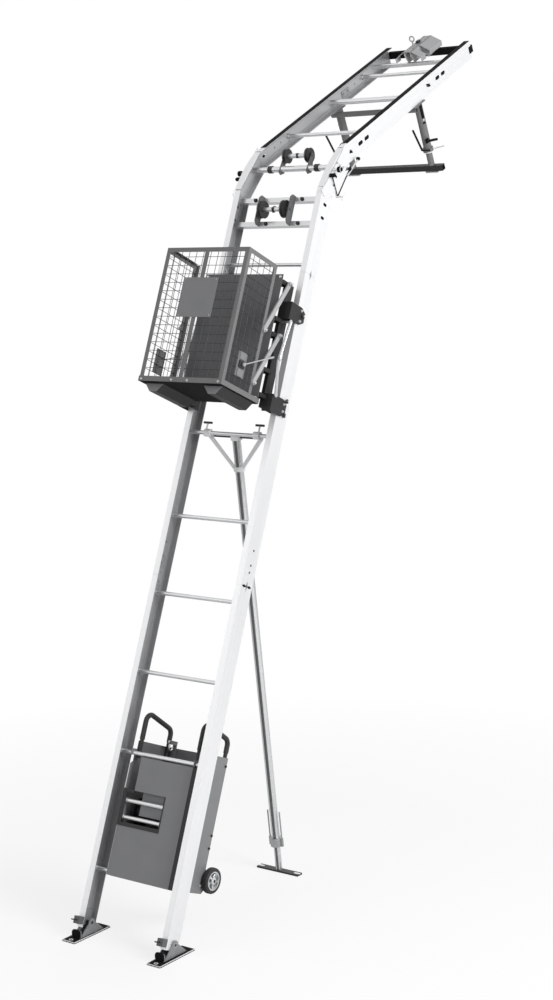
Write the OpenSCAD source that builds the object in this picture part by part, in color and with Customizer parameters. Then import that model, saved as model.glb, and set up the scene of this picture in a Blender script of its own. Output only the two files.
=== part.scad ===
// Inclined material hoist: a leaning two-rail ladder with a hinged knee, a level top section,
// a winch at the foot, a telescopic prop, a roof support and a carriage with a swinging cage.
// Lengths are millimetres. Across is X, back is +Y, up is +Z, and the ground is Z = 0.

/* [Ladder] */
// Lean of the ladder from the vertical, in degrees
lean = 20.4; // [18:0.2:23]
// Outside width across the two rails
ladder_w = 680; // [660:5:700]
// Depth of a rail from front to back
rail_depth = 120; // [114:1:126]
// Width of the rail flanges
rail_flange = 42; // [40:1:45]
// Wall of the rail channel
rail_wall = 5; // [4:0.5:6]
// Distance along the ladder to the lower ends of the rails
rail_start = 75; // [70:1:82]
// Distance along the ladder to the top of the base section
base_top = 2260; // [2230:5:2300]
// Length of the second ladder section
upper_len = 2000; // [1970:5:2030]
// Outside diameter of a rung
rung_d = 26; // [24:0.5:28]
// Wall of a rung tube
rung_wall = 3; // [2:0.5:4]
// Distance along the ladder to the lowest rung
low_rung = 433; // [420:1:445]
// Distance along the ladder to the rung that carries the winch
winch_rung = 1156; // [1140:1:1175]
// Spacing of the rungs in the base section
rung_pitch = 500; // [490:1:505]
// Spacing of the rungs in the second section
upper_pitch = 550; // [540:1:560]
// Distance from a section joint to the next rung
joint_rung = 396; // [385:1:405]

/* [Feet] */
// Distance along the ladder to the foot pivots
foot_s = 110; // [100:1:118]
// Depth of the foot pivots behind the front of the rails
foot_n = 70; // [64:1:76]
// Reach of a foot plate in front of its pivot
foot_front = 174; // [165:1:185]
// Reach of a foot plate behind its pivot
foot_back = 156; // [145:1:165]
// Width of a foot plate
foot_w = 95; // [92:1:100]
// Thickness of a foot plate
foot_plate_t = 10; // [8:1:12]
// Radius of the pivot pins
foot_pin_r = 8; // [7:0.5:10]
// Radius of the anchor holes
anchor_r = 7; // [6:0.5:8]

/* [Knee and top] */
// Distance along the ladder to the corner of the two rail lines
knee_s = 5003; // [4990:1:5030]
// Distance from that corner to each knee hinge
knee_reach = 180; // [170:1:190]
// Bend between the ladder and the top section, in degrees
bend = 42.7; // [40:0.1:45]
// Length of the top section beyond the knee
top_len = 1870; // [1840:5:1900]
// Place of the joint in the top section
top_joint = 1190; // [1175:1:1205]
// Radius of the knee hinge pins
knee_pin_r = 7; // [6:0.5:8]
// Radius of the sheaves below the knee
block_r = 57; // [52:1:60]
// Radius of the sheaves at the knee
knee_sheave_r = 48; // [44:1:52]
// Radius of the head sheave
head_sheave_r = 45; // [42:1:48]

/* [Roof support] */
// Place of the support legs along the top section
leg_t = 1035; // [1020:1:1060]
// Outside diameter of a leg sleeve
sleeve_d = 57; // [54:0.5:60]
// Outside diameter of an inner leg
leg_d = 45; // [42:0.5:47]
// Length of a leg sleeve
sleeve_len = 352; // [340:1:360]
// Depth of the rest bar behind the front of the top section
rest_d = 596; // [580:1:610]
// Side of the rest bar's square tube
rest_bar = 40; // [36:1:44]
// Reach of the rest bar beyond each leg
rest_reach = 90; // [80:1:100]

/* [Prop] */
// Angle of the prop from the vertical, in degrees
prop_deg = 9.2; // [8.6:0.1:10]
// Outside diameter of the prop tube
prop_d = 55; // [52:0.5:60]
// Outside diameter of the prop's inner tube
prop_leg_d = 45; // [42:0.5:48]
// Distance of the prop tube behind its rung
prop_offset = 36.3; // [36:0.1:40]
// Height of the clamp above the ground, measured along the prop
prop_clamp_h = 190; // [170:1:220]
// Width of the prop's foot bar
prop_foot_w = 330; // [310:5:350]
// Depth of the foot bar
prop_foot_d = 56; // [50:1:64]
// Thickness of the foot bar
prop_foot_t = 12; // [10:1:15]

/* [Winch] */
// Width over the winch's side panels
winch_w = 474; // [464:1:484]
// Depth of the winch's back behind the front of the rails
winch_back = 385; // [370:1:400]
// Thickness of the winch sheets
winch_sheet = 3; // [2:0.5:4]
// Radius of the rope drum
drum_r = 60; // [55:1:66]
// Radius of the winch wheels
wheel_r = 80; // [75:1:85]
// Width of the winch wheels
wheel_w = 40; // [36:1:44]
// Diameter of the handle tubes
handle_d = 25; // [22:0.5:26]

/* [Carriage] */
// Distance along the ladder to the lower roller blocks
carriage_s = 3384; // [3360:1:3400]
// Spacing of the roller blocks along the ladder
block_pitch = 594; // [584:1:604]
// Radius of the front rollers
roller_r = 30; // [27:0.5:32]
// Radius of the counter rollers behind the front flanges
counter_r = 16; // [14:0.5:17]
// Width of the back panel
panel_w = 590; // [580:1:600]
// Height of the back panel
panel_h = 814; // [804:1:824]

/* [Cage] */
// Width of the cage
cage_w = 619; // [612:1:626]
// Depth of the cage
cage_depth = 312; // [302:1:322]
// Height of the cage
cage_h = 846; // [836:1:856]
// Width of the angle posts
post_w = 28; // [26:0.5:30]
// Thickness of the angle posts
post_t = 3; // [2.5:0.25:4]
// Length of a link between its pins
link_len = 392; // [385:1:400]
// Angle of the links from the ladder, in degrees
link_deg = 25.4; // [24:0.1:27]
// Spacing of the upper and lower links along the ladder
link_pitch = 336; // [330:1:342]
// Width of a link
link_w = 30; // [26:1:32]
// Thickness of a link
link_t = 10; // [8:0.5:11]
// Opening of the wire mesh
mesh_gap = 48; // [44:1:52]
// Thickness of the mesh wires
wire_d = 4; // [3:0.25:5]

/* [Hidden] */
$fn = 64;
// Gap left between pieces that are bolted or welded to each other
fit = 0.2;
// Radial clearance of a pin in its bore
run = 0.05;
// Radial clearance of a tube that slides in another
slide = 0.5;
// Overrun of cuts
over = 1;

// Rail values
half_w = ladder_w / 2;
web_in = half_w - rail_wall;
flange_in = half_w - rail_flange;
flange_back = rail_depth - rail_wall;
rail_mid = (half_w + flange_in) / 2;
seam = 1;
rung_n = rail_depth / 2;
rung_r = rung_d / 2;
upper_top = base_top + upper_len;
upper_rung = base_top + joint_rung;
prop_s = upper_rung + upper_pitch;
bolt_hole_r = 6;
joint_slot_w = 22;
joint_slot_len = 64;
joint_hole_places = [87, 131, 223];
top_hole_places = [140, 225];
splice_t = 6;
splice_half = 52;
splice_n = 46;
splice_head_r = 9;
splice_head_t = 6;
splice_bolt_gap = 30;
stub_rung = 70;
crossbar_low = 221;
crossbar_high = 58;
crossbar_h = 32;
crossbar_d = 40;
crossbar_wall = 3;
web_window = 15;
web_window_places = [94, 182];
stop_low = 92;
stop_h = 45;
stop_d = 45;

// Knee values
half_bend = bend / 2;
knee_swing = 11;
knee_low = knee_s - knee_reach;
knee_len = 2 * knee_reach * cos(half_bend);
hinge_n = 24;
knee_gap = 1.5;
lug_t = 7;
lug_gap = 0.5;
lug_r = 16;
lug_reach = 62;
pin_notch = 1;
knee_plate_gap = 0.5;
knee_plate_t = 6;
knee_plate_end = 42;
knee_plate_back = 112;
knee_plate_nose = 62;
knee_plate_slope = 60;
gusset_t = 5;
gusset_top = [24, 104];
gusset_apex = [150, 53];
gusset_back = [138, 270];
gusset_rim = 12;
tee_r = 6;
tee_len = 46;
tee_bar_r = 5;
tee_bar = 60;
knob_u = 158;
knob_v = 16;
knob_r = 17;
knob_neck_r = 8;
knob_out = 60;
knob_t = 26;
knee_rung_u = 223;
knee_rung_v = 55;
knee_rung_d = 38;
knee_axle_u = 309;
knee_axle_v = 24;
knee_block_x = 104;
knee_block_t = 5;
knee_block_rim = 14;

// Sheave values
sheave_x = 86;
sheave_w = 24;
groove_depth = 12;
sheave_hub_r = 14;
sheave_axle_r = 8;
block_x = 117;
block_plate_t = 6;
block_front = -18;
block_margin = 18;
block_corner = 20;
block_axle_end = 8;

// Foot values
foot_y = foot_s * sin(lean) + foot_n * cos(lean);
foot_z = foot_s * cos(lean) - foot_n * sin(lean);
foot_shift = 6;
cheek_gap = 4;
cheek_t = 7;
cheek_base = 108;
cheek_boss_r = 26;
foot_web_y = 105;
foot_web_t = 6;
foot_web_h = 44;
anchor_back = 24;
foot_pin_end = 3;

// Top section values, along the section (t) and behind its front (d)
top_slot_t = 65;
top_rung_low = 388;
top_rung_in = 421;
top_rung_places = [top_rung_low, top_len - top_rung_in];
top_rung_d = 56;
strip_from = 62;
strip_t = 2;
end_bar_t = 28;
end_bar_front = 36;
end_bar_back = 86;
hood_half = 32;
hood_t = 3;
hood_over = 25;
hood_len = 325;
hood_to = top_len + hood_over;
hood_from = hood_to - hood_len;
hood_top = -58;
wing_out = 105;
wing_drop = 44;
wing_lip = 34;
wing_low_len = 70;
wing_low_to = hood_from + wing_low_len;
wing_high_in = 135;
wing_high_from = hood_from + wing_high_in;
hood_cheek_x = 26;
hood_seat = 34;
hood_foot = 60;
hood_foot_back = 70;
head_axle_in = 70;
head_axle_t = top_len - head_axle_in;
head_axle_d = 0;
head_sheave_w = 30;
seat_bar_in = 40;
seat_bar_t = hood_from + seat_bar_in;
seat_bar = 24;
eye_in = 107;
eye_t = hood_from + eye_in;
eye_shank_r = 6;
eye_shank = 38;
eye_ring_r = 18;
hood_nut_in = 165;
hood_nut_len = 35;
hood_nut_from = hood_from + hood_nut_in;
hood_nut_to = hood_nut_from + hood_nut_len;
hood_nut_half = 10;
hood_nut_h = 17;
eye_wire_r = 5;

// Roof support values
leg_bracket_t = 8;
leg_bracket_half = 50;
leg_bracket_in = 10;
leg_bracket_out = 14;
leg_cross_t = 970;
leg_cross_d = 38;
leg_cross_wall = 3;
leg_collar_d = 74;
leg_collar_h = 26;
leg_top = 200;
leg_wall = 3;
rest_wall = 3;
sole_t = 8;
sole_half = 48;

// Prop values
prop_y = prop_s * sin(lean) + rung_n * cos(lean);
prop_z = prop_s * cos(lean) - rung_n * sin(lean);
prop_ground = (prop_z + prop_offset * sin(prop_deg)) / cos(prop_deg);
prop_wall = 4.5;
prop_top = -14;
prop_leg_top = 900;
prop_leg_wall = 3.5;
prop_clamp_len = 60;
prop_clamp_r = 40;
prop_clamp_ear = 14;
prop_clamp_rod_r = 5;
prop_clamp_rod = 190;
prop_foot_y = prop_y + prop_offset * cos(prop_deg) + prop_ground * sin(prop_deg);
prop_foot_hole_r = 6;
prop_foot_hole_in = 20;
yoke_t = 8;
yoke_front = 24;
yoke_half = 212;
yoke_bar = 18;
yoke_bar_low = 30;
yoke_apex = 280;
yoke_arm = 34;
yoke_ring_r = 37;
yoke_ring_h = 30;
yoke_sleeve_r = 25;
yoke_sleeve_in = 168;

// Winch values
cover_front = 42;
cover_back = cover_front + winch_sheet;
cover_drop = 24;
cover_low = low_rung - cover_drop;
rung_gap = 6;
cover_top = winch_rung - rung_r - rung_gap;
winch_drop = 28;
winch_low = low_rung - winch_drop;
winch_rise = 79;
winch_top = winch_rung + winch_rise;
side_out = winch_w / 2;
side_in = side_out - winch_sheet;
side_gap = 9;
side_front = rung_n + rung_r + side_gap;
side_step_gap = 10;
side_step_low = low_rung + rung_r + side_step_gap;
side_step_drop = 26;
side_step_high = winch_rung - rung_r - side_step_drop;
side_slope = 26;
ear = 20;
axle_back = 45;
axle_n = winch_back + axle_back;
axle_rise = 62;
axle_s = low_rung + axle_rise;
axle_r = 10;
wheel_gap = 6;
wheel_axle_end = 5;
wheel_hub_r = 24;
wheel_rim = 20;
wheel_recess = 12;
window_left = -225;
window_right = 78;
window_low = 722;
window_high = 932;
notch_right = -158;
fairlead_r = 13;
fairlead_pin_r = 6;
fairlead_n = 64;
fairlead_low_s = 766;
fairlead_high_s = 868;
fairlead_tab_n = 82;
fairlead_tab_rim = 16;
fairlead_gap = 1;
hook_plate_t = 6;
hook_reach = 22;
hook_rise = 26;
hook_root = 52;
hook_tail = 72;
hook_prong = 16;
handle_front = 92;
handle_seat = 0.5;
handle_r = handle_d / 2;
handle_back = winch_back - winch_sheet - handle_r - handle_seat;
handle_x = side_in - handle_r - handle_seat;
handle_bend = 45;
handle_rise = 202;
handle_foot = 26;
handle_slope = 14.9;
drum_n = 215;
drum_s = 812;
drum_left = -200;
drum_right = 72;
drum_flange_r = 95;
drum_flange_t = 6;
drum_shaft_r = 15;
gear_left = 100;
gear_front = 130;
gear_back = 300;
gear_low = 715;
gear_high = 900;
gear_bore = 40;
motor_r = 66;
motor_len = 250;
shackle_x = -174;
shackle_half = 8;
shackle_t = 4;
shackle_n = 318;
shackle_rise = 30;
shackle_s = winch_top + shackle_rise;
shackle_r = 12;
shackle_pin_r = 5;
snap_eye_r = 12;
snap_half = 6;
snap_neck = 34;
snap_neck_r = 6;
snap_hook_r = 16;
snap_wire_r = 5;
snap_sweep = 200;
snap_hang = 17.5;

// Carriage values
upper_block = carriage_s + block_pitch;
cage_half = cage_w / 2;
panel_t = 4;
panel_front = -162;
panel_drop = 14;
panel_low = carriage_s - panel_drop;
upright_front = -88;
upright_back = -12;
upright_w = 26;
upright_drop = 34;
upright_low = carriage_s - upright_drop;
cross_bar = 24;
tube_wall = 4;
cross_front = panel_front + panel_t + fit;
cross_back = upright_front - fit;
cross_half = 302;
cross_end = 12;
bridge_front = upright_front + fit;
bridge_back = -80;
bridge_half = 55;
inner_gap = 4;
inner_t = 8;
inner_out = flange_in - inner_gap;
inner_in = inner_out - inner_t;
upright_out = inner_in - fit;
upright_in = upright_out - upright_w;
inner_half = 45;
outer_gap = 4;
outer_in = half_w + outer_gap;
outer_t = 6;
outer_out = outer_in + outer_t;
outer_back = 75;
outer_step = 30;
outer_end_half = 30;
pad_gap = 0.5;
pad_front = 20;
pad_back = 70;
pad_half = 24;
roller_gap = 0.3;
roller_w = 34;
roller_axle_r = 8;
roller_n = -(roller_r + roller_gap);
counter_w = 28;
counter_axle_r = 6;
counter_n = rail_wall + roller_gap + counter_r;
inner_back = counter_n + counter_r;
lever_shaft_r = 7;
lever_n = -70;
lever_drop = 73;
lever_s = upper_block - lever_drop;
lever_gap = 2;
lever_t = 8;
lever_pin_end = 3;
lever_w = 24;
lever_boss_r = 15;
lever_knee = [-112, -271];
lever_end = [-68, -468];

// Cage and link values
link_gap = 1.5;
link_in = cage_half + link_gap;
link_out = link_in + link_t;
link_pin_r = 8;
link_pin_end = 4;
link_n = -104;
link_rise = 419;
link_low = carriage_s + link_rise;
link_high = link_low + link_pitch;
cross_first = 30;
cross_second = 190;
cross_step = 100;
cross_places = [carriage_s + cross_first, carriage_s + cross_second, link_low, link_low + cross_step, link_high];
cage_pivot_n = link_n - link_len * sin(link_deg);
cage_pivot_drop = link_len * cos(link_deg);
cage_back = cage_pivot_n + post_w / 2;
cage_front = cage_back - cage_depth;
cage_drop = 91;
cage_low = link_low - cage_pivot_drop - cage_drop;
cage_top = cage_low + cage_h;
tray_drop = 12;
tray_low = cage_low - tray_drop;
tray_t = 3;
tray_lip = 32;
lip_top = tray_low + tray_lip;
tray_gap = 6;
tray_back = panel_front - tray_gap;
floor_t = 2;
floor_gap = 6;
skid_x = 222;
skid_top_half = 70;
skid_low_half = 27;
skid_h = 50;
skid_wall = 4;
skid_front_in = 46;
skid_front = cage_front + skid_front_in;
skid_back_in = 24;
skid_back = tray_back - skid_back_in;
net_front = cage_front + post_t + fit;
net_side = cage_half - post_t - fit;
net_gap = 2;
net_low = lip_top + net_gap;
sign_w = 254;
sign_h = 252;
sign_t = 3;
sign_rise = 400;
sign_low = cage_low + sign_rise;
mid_post_w = 30;
latch_in = 152;
latch_n = cage_front + latch_in;
latch_rise = 158;
latch_s = cage_low + latch_rise;
latch_plate_half = 45;
latch_plate_low = 78;
latch_plate_high = 74;
latch_plate_t = 6;
latch_pin_r = 5;
latch_eye_r = 11;
latch_gap = 2;
latch_w = 11;
latch_rod_r = 4;
latch_len = 304;
latch_deg = 26.4;

// Turns a point [back, up] about the X axis so that its up direction leans back
function lean_by(p, a) = [p[0] * cos(a) + p[1] * sin(a), p[1] * cos(a) - p[0] * sin(a)];
// Place in the ladder of a point at a depth and height of the knee, and of the top section
function knee_point(v, u) = [hinge_n, knee_low] + lean_by([v - hinge_n, u], half_bend);
function top_point(d, t) = let (p = [hinge_n, knee_len] + lean_by([d - hinge_n, t], half_bend)) knee_point(p[0], p[1]);
// Set-back of a rail end at a knee hinge, closed at full bend behind the pin and at least bend before it
function mitre(n) = knee_gap + (n - hinge_n) * tan((n > hinge_n ? half_bend : half_bend - knee_swing) / 2);
y_front = foot_y - foot_front;
y_back = lean_by(top_point(end_bar_back, top_len + fit + end_bar_t), lean)[0];
y_mid = (y_front + y_back) / 2;

// Frames: the ground, the ladder, the knee, the top section and the prop
module on_ground() translate([0, -y_mid, 0]) children();
module on_ladder(n = 0, s = 0) on_ground() rotate([-lean, 0, 0]) translate([0, n, s]) children();
module on_knee() on_ladder(hinge_n, knee_low) rotate([-half_bend, 0, 0]) translate([0, -hinge_n, 0]) children();
module on_top() on_knee() translate([0, hinge_n, knee_len]) rotate([-half_bend, 0, 0])
  translate([0, -hinge_n, 0]) children();
module on_prop() on_ground() translate([0, prop_y, prop_z]) rotate([prop_deg, 0, 0]) children();

// Building shapes
module both_sides() {
  children();
  mirror([1, 0, 0]) children();
}
module slab(low, high) translate(low) cube(high - low);
module at(n, s) translate([0, n, s]) children();
module sheet_x(x0, x1) translate([x0, 0, 0]) rotate([90, 0, 90]) linear_extrude(x1 - x0) children();
module sheet_n(n0, n1) translate([0, n1, 0]) rotate([90, 0, 0]) linear_extrude(n1 - n0) children();
module rod_x(x0, x1, r) translate([x0, 0, 0]) rotate([0, 90, 0]) cylinder(r = r, h = x1 - x0);
module tube_x(x0, x1, r, wall) difference() {
  rod_x(x0, x1, r);
  rod_x(x0 - over, x1 + over, r - wall);
}
module tube_z(z0, z1, r, wall) translate([0, 0, z0]) difference() {
  cylinder(r = r, h = z1 - z0);
  translate([0, 0, -over]) cylinder(r = r - wall, h = z1 - z0 + 2 * over);
}
module arc_x(bend_r, r, from, sweep) rotate([90, 0, 90]) rotate([0, 0, from])
  rotate_extrude(angle = sweep) translate([bend_r, 0]) circle(r);
module sheave(x, r, w, depth, hub) translate([x, 0, 0]) rotate([0, 90, 0]) rotate_extrude()
  polygon([[hub, -w / 2], [r, -w / 2], [r - depth, -w / 8], [r - depth, w / 8], [r, w / 2], [hub, w / 2]]);

// Rails
module rail_section() polygon([
  [half_w, 0], [half_w, rail_depth], [flange_in, rail_depth], [flange_in, flange_back],
  [web_in, flange_back], [web_in, rail_wall], [flange_in, rail_wall], [flange_in, 0]
]);
module rail(from, to) translate([0, 0, from]) linear_extrude(to - from) rail_section();
module web_hole(n, s, r) at(n, s) rod_x(web_in - over, half_w + over, r);
module joint_slot(s) sheet_x(web_in - over, half_w + over) polygon([
  [rung_n - joint_slot_w / 2, s], [rung_n, s + joint_slot_len / 2],
  [rung_n + joint_slot_w / 2, s], [rung_n, s - joint_slot_len / 2]
]);
module base_rail() color("gainsboro") on_ladder() difference() {
  rail(rail_start, base_top - seam / 2);
  joint_slot(base_top);
  web_hole(foot_n, foot_s, foot_pin_r + run);
}
module upper_rail() color("gainsboro") on_ladder() difference() {
  rail(base_top + seam / 2, upper_top - seam / 2);
  joint_slot(base_top);
  joint_slot(upper_top);
  for (place = joint_hole_places) web_hole(rung_n, base_top + place, bolt_hole_r);
}
module lug(up) {
  sheet_x(web_in - lug_t, web_in - lug_gap) at_hinge_shape(up);
  sheet_x(web_in - lug_t, web_in) translate([hinge_n - lug_r, up > 0 ? mitre(hinge_n + lug_r) : -lug_reach])
    square([2 * lug_r, lug_reach - mitre(hinge_n + lug_r)]);
}
module at_hinge_shape(up) union() {
  translate([hinge_n, 0]) circle(lug_r);
  translate([hinge_n - lug_r, up > 0 ? 0 : -lug_reach]) square([2 * lug_r, lug_reach]);
}
module hinge_cut() {
  at(hinge_n, 0) rod_x(web_in - lug_t - over, half_w + over, knee_pin_r + run);
  at(hinge_n, 0) rod_x(web_in - lug_gap, half_w + over, knee_pin_r + pin_notch);
}
module stub_rails() color("gainsboro") on_ladder() both_sides() difference() {
  union() {
    intersection() {
      rail(upper_top + seam / 2, knee_s);
      sheet_x(0, ladder_w) polygon([
        [-over, upper_top], [rail_depth + over, upper_top],
        [rail_depth + over, knee_low - mitre(rail_depth + over)],
        [hinge_n, knee_low - mitre(hinge_n)], [-over, knee_low - mitre(-over)]
      ]);
    }
    at(0, knee_low) lug(-1);
  }
  at(0, knee_low) hinge_cut();
  joint_slot(upper_top);
  for (place = web_window_places) sheet_x(web_in - over, half_w + over)
    translate([rung_n, knee_low - place]) square(web_window, center = true);
}
module knee_rails() color("gainsboro") on_knee() {
  both_sides() difference() {
    intersection() {
      rail(-knee_reach, knee_len + knee_reach);
      sheet_x(0, ladder_w) polygon([
        [-over, mitre(-over)], [hinge_n, mitre(hinge_n)], [rail_depth + over, mitre(rail_depth + over)],
        [rail_depth + over, knee_len - mitre(rail_depth + over)],
        [hinge_n, knee_len - mitre(hinge_n)], [-over, knee_len - mitre(-over)]
      ]);
    }
    for (u = [0, knee_len]) web_hole(hinge_n, u, knee_pin_r + pin_notch);
  }
  at(knee_rung_v, knee_rung_u) tube_x(-web_in + fit, web_in - fit, knee_rung_d / 2, rung_wall);
}
module top_rails() color("gainsboro") on_top() both_sides() difference() {
  union() {
    intersection() {
      rail(-knee_reach, top_joint - seam / 2);
      sheet_x(0, ladder_w) polygon([
        [-over, mitre(-over)], [hinge_n, mitre(hinge_n)], [rail_depth + over, mitre(rail_depth + over)],
        [rail_depth + over, top_joint], [-over, top_joint]
      ]);
    }
    lug(1);
  }
  hinge_cut();
  joint_slot(top_slot_t);
  joint_slot(top_joint);
  for (place = top_hole_places) web_hole(rung_n, top_slot_t + place, bolt_hole_r);
}
module head_rails() color("gainsboro") on_top() both_sides() difference() {
  rail(top_joint + seam / 2, top_len);
  joint_slot(top_joint);
  for (place = top_hole_places) web_hole(rung_n, top_joint + place, bolt_hole_r);
}

// Rungs, crossbars, splices and stops
module rung(n, s) at(n, s) tube_x(-web_in + fit, web_in - fit, rung_r, rung_wall);
module ladder_rungs() color("silver") on_ladder() {
  rung(rung_n, low_rung);
  for (i = [0:2]) rung(rung_n, winch_rung + i * rung_pitch);
  for (i = [0:2]) rung(rung_n, upper_rung + i * upper_pitch);
  rung(rung_n, upper_top + stub_rung);
}
module crossbar(s) difference() {
  slab([-web_in + fit, rung_n - crossbar_d / 2, s - crossbar_h / 2],
    [web_in - fit, rung_n + crossbar_d / 2, s + crossbar_h / 2]);
  slab([-half_w, rung_n - crossbar_d / 2 + crossbar_wall, s - crossbar_h / 2 + crossbar_wall],
    [half_w, rung_n + crossbar_d / 2 - crossbar_wall, s + crossbar_h / 2 - crossbar_wall]);
}
module stub_crossbars() color("silver") on_ladder() {
  crossbar(knee_low - crossbar_low);
  crossbar(knee_low - crossbar_high);
}
module splice(s) both_sides() {
  slab([web_in - fit - splice_t, splice_n, s - splice_half],
    [web_in - fit, rail_depth - splice_n + rung_r, s + splice_half]);
  for (side = [-1, 1]) at((rail_depth + rung_r) / 2, s + side * splice_bolt_gap)
    rod_x(web_in - fit - splice_t - splice_head_t, web_in - fit - splice_t / 2, splice_head_r);
}
module rail_splices() color("dimgray") on_ladder() for (s = [base_top, upper_top]) splice(s);
module top_splices() color("dimgray") on_top() splice(top_joint);
module bottom_stops() color("dimgray") on_ladder() both_sides()
  slab([flange_in, -stop_d, stop_low], [half_w, -fit, stop_low + stop_h]);
module foot_pins() color("silver") on_ladder() both_sides() at(foot_n, foot_s)
  rod_x(flange_in - cheek_gap - cheek_t - foot_pin_end, half_w + cheek_gap + cheek_t + foot_pin_end, foot_pin_r);

// Feet
module cheek() difference() {
  union() {
    polygon([[-cheek_base, foot_plate_t], [cheek_base, foot_plate_t], [cheek_boss_r, foot_z], [-cheek_boss_r, foot_z]]);
    translate([0, foot_z]) circle(cheek_boss_r);
  }
  translate([0, foot_z]) circle(foot_pin_r + run);
}
module foot() color("gray") on_ground() translate([0, foot_y, 0]) {
  foot_mid = rail_mid + foot_shift;
  outer = half_w + cheek_gap;
  inner = flange_in - cheek_gap;
  difference() {
    union() {
      slab([foot_mid - foot_w / 2, -foot_front, 0], [foot_mid + foot_w / 2, foot_back, foot_plate_t]);
      slab([inner - cheek_t, -foot_web_y, 0], [outer + cheek_t, foot_web_t - foot_web_y, foot_plate_t + foot_web_h]);
      sheet_x(outer, outer + cheek_t) cheek();
      sheet_x(inner - cheek_t, inner) cheek();
    }
    translate([foot_mid, anchor_back - foot_front, -over]) cylinder(r = anchor_r, h = foot_plate_t + 2 * over);
  }
}

// Winch
module winch_cover() color("darkgray") on_ladder() difference() {
  union() {
    slab([-side_out, cover_front, cover_low], [side_out, cover_back, cover_top]);
    for (x = [window_left + fairlead_gap, window_right + fairlead_gap]) slab(
      [x, cover_front, fairlead_low_s - fairlead_tab_rim],
      [x + winch_sheet, fairlead_tab_n, fairlead_high_s + fairlead_tab_rim]);
  }
  slab([window_left + fairlead_gap + winch_sheet, cover_front - over, window_low],
    [window_right, cover_back + over, window_high]);
  slab([-side_out - over, cover_front - over, window_high - over], [notch_right, cover_back + over, cover_top + over]);
  for (s = [fairlead_low_s, fairlead_high_s]) at(fairlead_n, s)
    rod_x(window_left - over, window_right + fairlead_tab_rim, fairlead_pin_r + run);
}
module fairlead(s) color("silver") on_ladder() at(fairlead_n, s) {
  rod_x(window_left + 2 * fairlead_gap + winch_sheet, window_right, fairlead_r);
  rod_x(window_left + fairlead_gap, window_right + fairlead_gap + winch_sheet, fairlead_pin_r);
}
module winch_side() difference() {
  sheet_x(side_in, side_out) polygon([
    [side_front, winch_low], [winch_back, winch_low], [axle_n + ear, axle_s - ear], [axle_n + ear, axle_s + ear],
    [winch_back, axle_s + 3 * ear], [winch_back, winch_top], [side_front, winch_top],
    [side_front, side_step_high], [cover_back + fit, side_step_high - side_slope],
    [cover_back + fit, side_step_low + side_slope], [side_front, side_step_low]
  ]);
  at(axle_n, axle_s) rod_x(side_in - over, side_out + over, axle_r + run);
  at(drum_n, drum_s) rod_x(side_in - over, side_out + over, drum_shaft_r + run);
}
module winch_hook() difference() {
  sheet_x(side_out + fit, side_out + fit + hook_plate_t) difference() {
    translate([rung_n - hook_reach, winch_rung - hook_tail]) square([hook_reach + hook_root, hook_tail + hook_rise]);
    translate([rung_n, winch_rung]) circle(rung_r + fit);
    translate([rung_n - rung_r - fit, winch_rung - hook_tail - over]) square([rung_d + 2 * fit, hook_tail + over]);
    translate([rung_n - hook_reach - over, winch_rung - hook_tail - over])
      square([hook_reach + over, hook_tail + over - hook_prong]);
  }
}
module winch_sides() color("lightgray") on_ladder() both_sides() {
  winch_side();
  winch_hook();
}
module winch_shell() color("dimgray") on_ladder() {
  shell_front = winch_back - winch_sheet - fit;
  slab([-side_in + fit, winch_back - winch_sheet, winch_low], [side_in - fit, winch_back, winch_top]);
  slab([-side_in + fit, side_front, winch_low], [side_in - fit, shell_front, winch_low + winch_sheet]);
  shackle_side = shackle_half + shackle_t;
  post_front = shell_front - shackle_r;
  slab([shackle_x - shackle_side, post_front, winch_top - hook_tail],
    [shackle_x + shackle_side, shell_front, shackle_s + shackle_r]);
  for (side = [-1, 1]) translate([side * (shackle_half + shackle_t / 2), 0, 0])
    sheet_x(shackle_x - shackle_t / 2, shackle_x + shackle_t / 2) union() {
      translate([shackle_n, shackle_s]) circle(shackle_r);
      translate([shackle_n, shackle_s - shackle_r]) square([post_front - fit - shackle_n, 2 * shackle_r]);
    }
  at(shackle_n, shackle_s)
    rod_x(shackle_x - shackle_half - shackle_t, shackle_x + shackle_half + shackle_t, shackle_pin_r);
}
module snap_hook() color("silver") on_ladder(shackle_n, shackle_s) rotate([lean - snap_hang, 0, 0])
  translate([shackle_x, 0, 0]) {
  tube_x(-snap_half, snap_half, snap_eye_r, snap_eye_r - shackle_pin_r - run);
  translate([0, 0, -snap_neck]) cylinder(r = snap_neck_r, h = snap_neck - (snap_eye_r + shackle_pin_r) / 2);
  translate([0, snap_hook_r, -snap_neck]) arc_x(snap_hook_r, snap_wire_r, 180, snap_sweep);
}
module winch_handles() color("dimgray") on_ladder() both_sides() translate([handle_x, 0, 0]) {
  front_s = winch_rung + handle_rise;
  front_n = handle_front + handle_bend;
  span = handle_back - handle_front - 2 * handle_bend;
  back_s = front_s - span * tan(handle_slope);
  at(handle_front, winch_rung - handle_foot) cylinder(r = handle_r, h = front_s - winch_rung + handle_foot);
  at(front_n, front_s) arc_x(handle_bend, handle_r, 90 - handle_slope, 90 + handle_slope);
  at(front_n, front_s) rotate([-90 - handle_slope, 0, 0]) translate([0, -handle_bend, 0])
    cylinder(r = handle_r, h = span / cos(handle_slope));
  at(handle_back - handle_bend, back_s) arc_x(handle_bend, handle_r, 0, 90 - handle_slope);
  at(handle_back, winch_rung - handle_foot) cylinder(r = handle_r, h = back_s - winch_rung + handle_foot);
}
module gear_motor() color("slategray") on_ladder() difference() {
  union() {
    slab([gear_left, gear_front, gear_low], [side_in - fit, gear_back, gear_high]);
    translate([(gear_left + side_in) / 2, drum_n, gear_high]) cylinder(r = motor_r, h = motor_len);
  }
  at(drum_n, drum_s) rod_x(gear_left - over, gear_left + gear_bore, drum_shaft_r + run);
}
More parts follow.
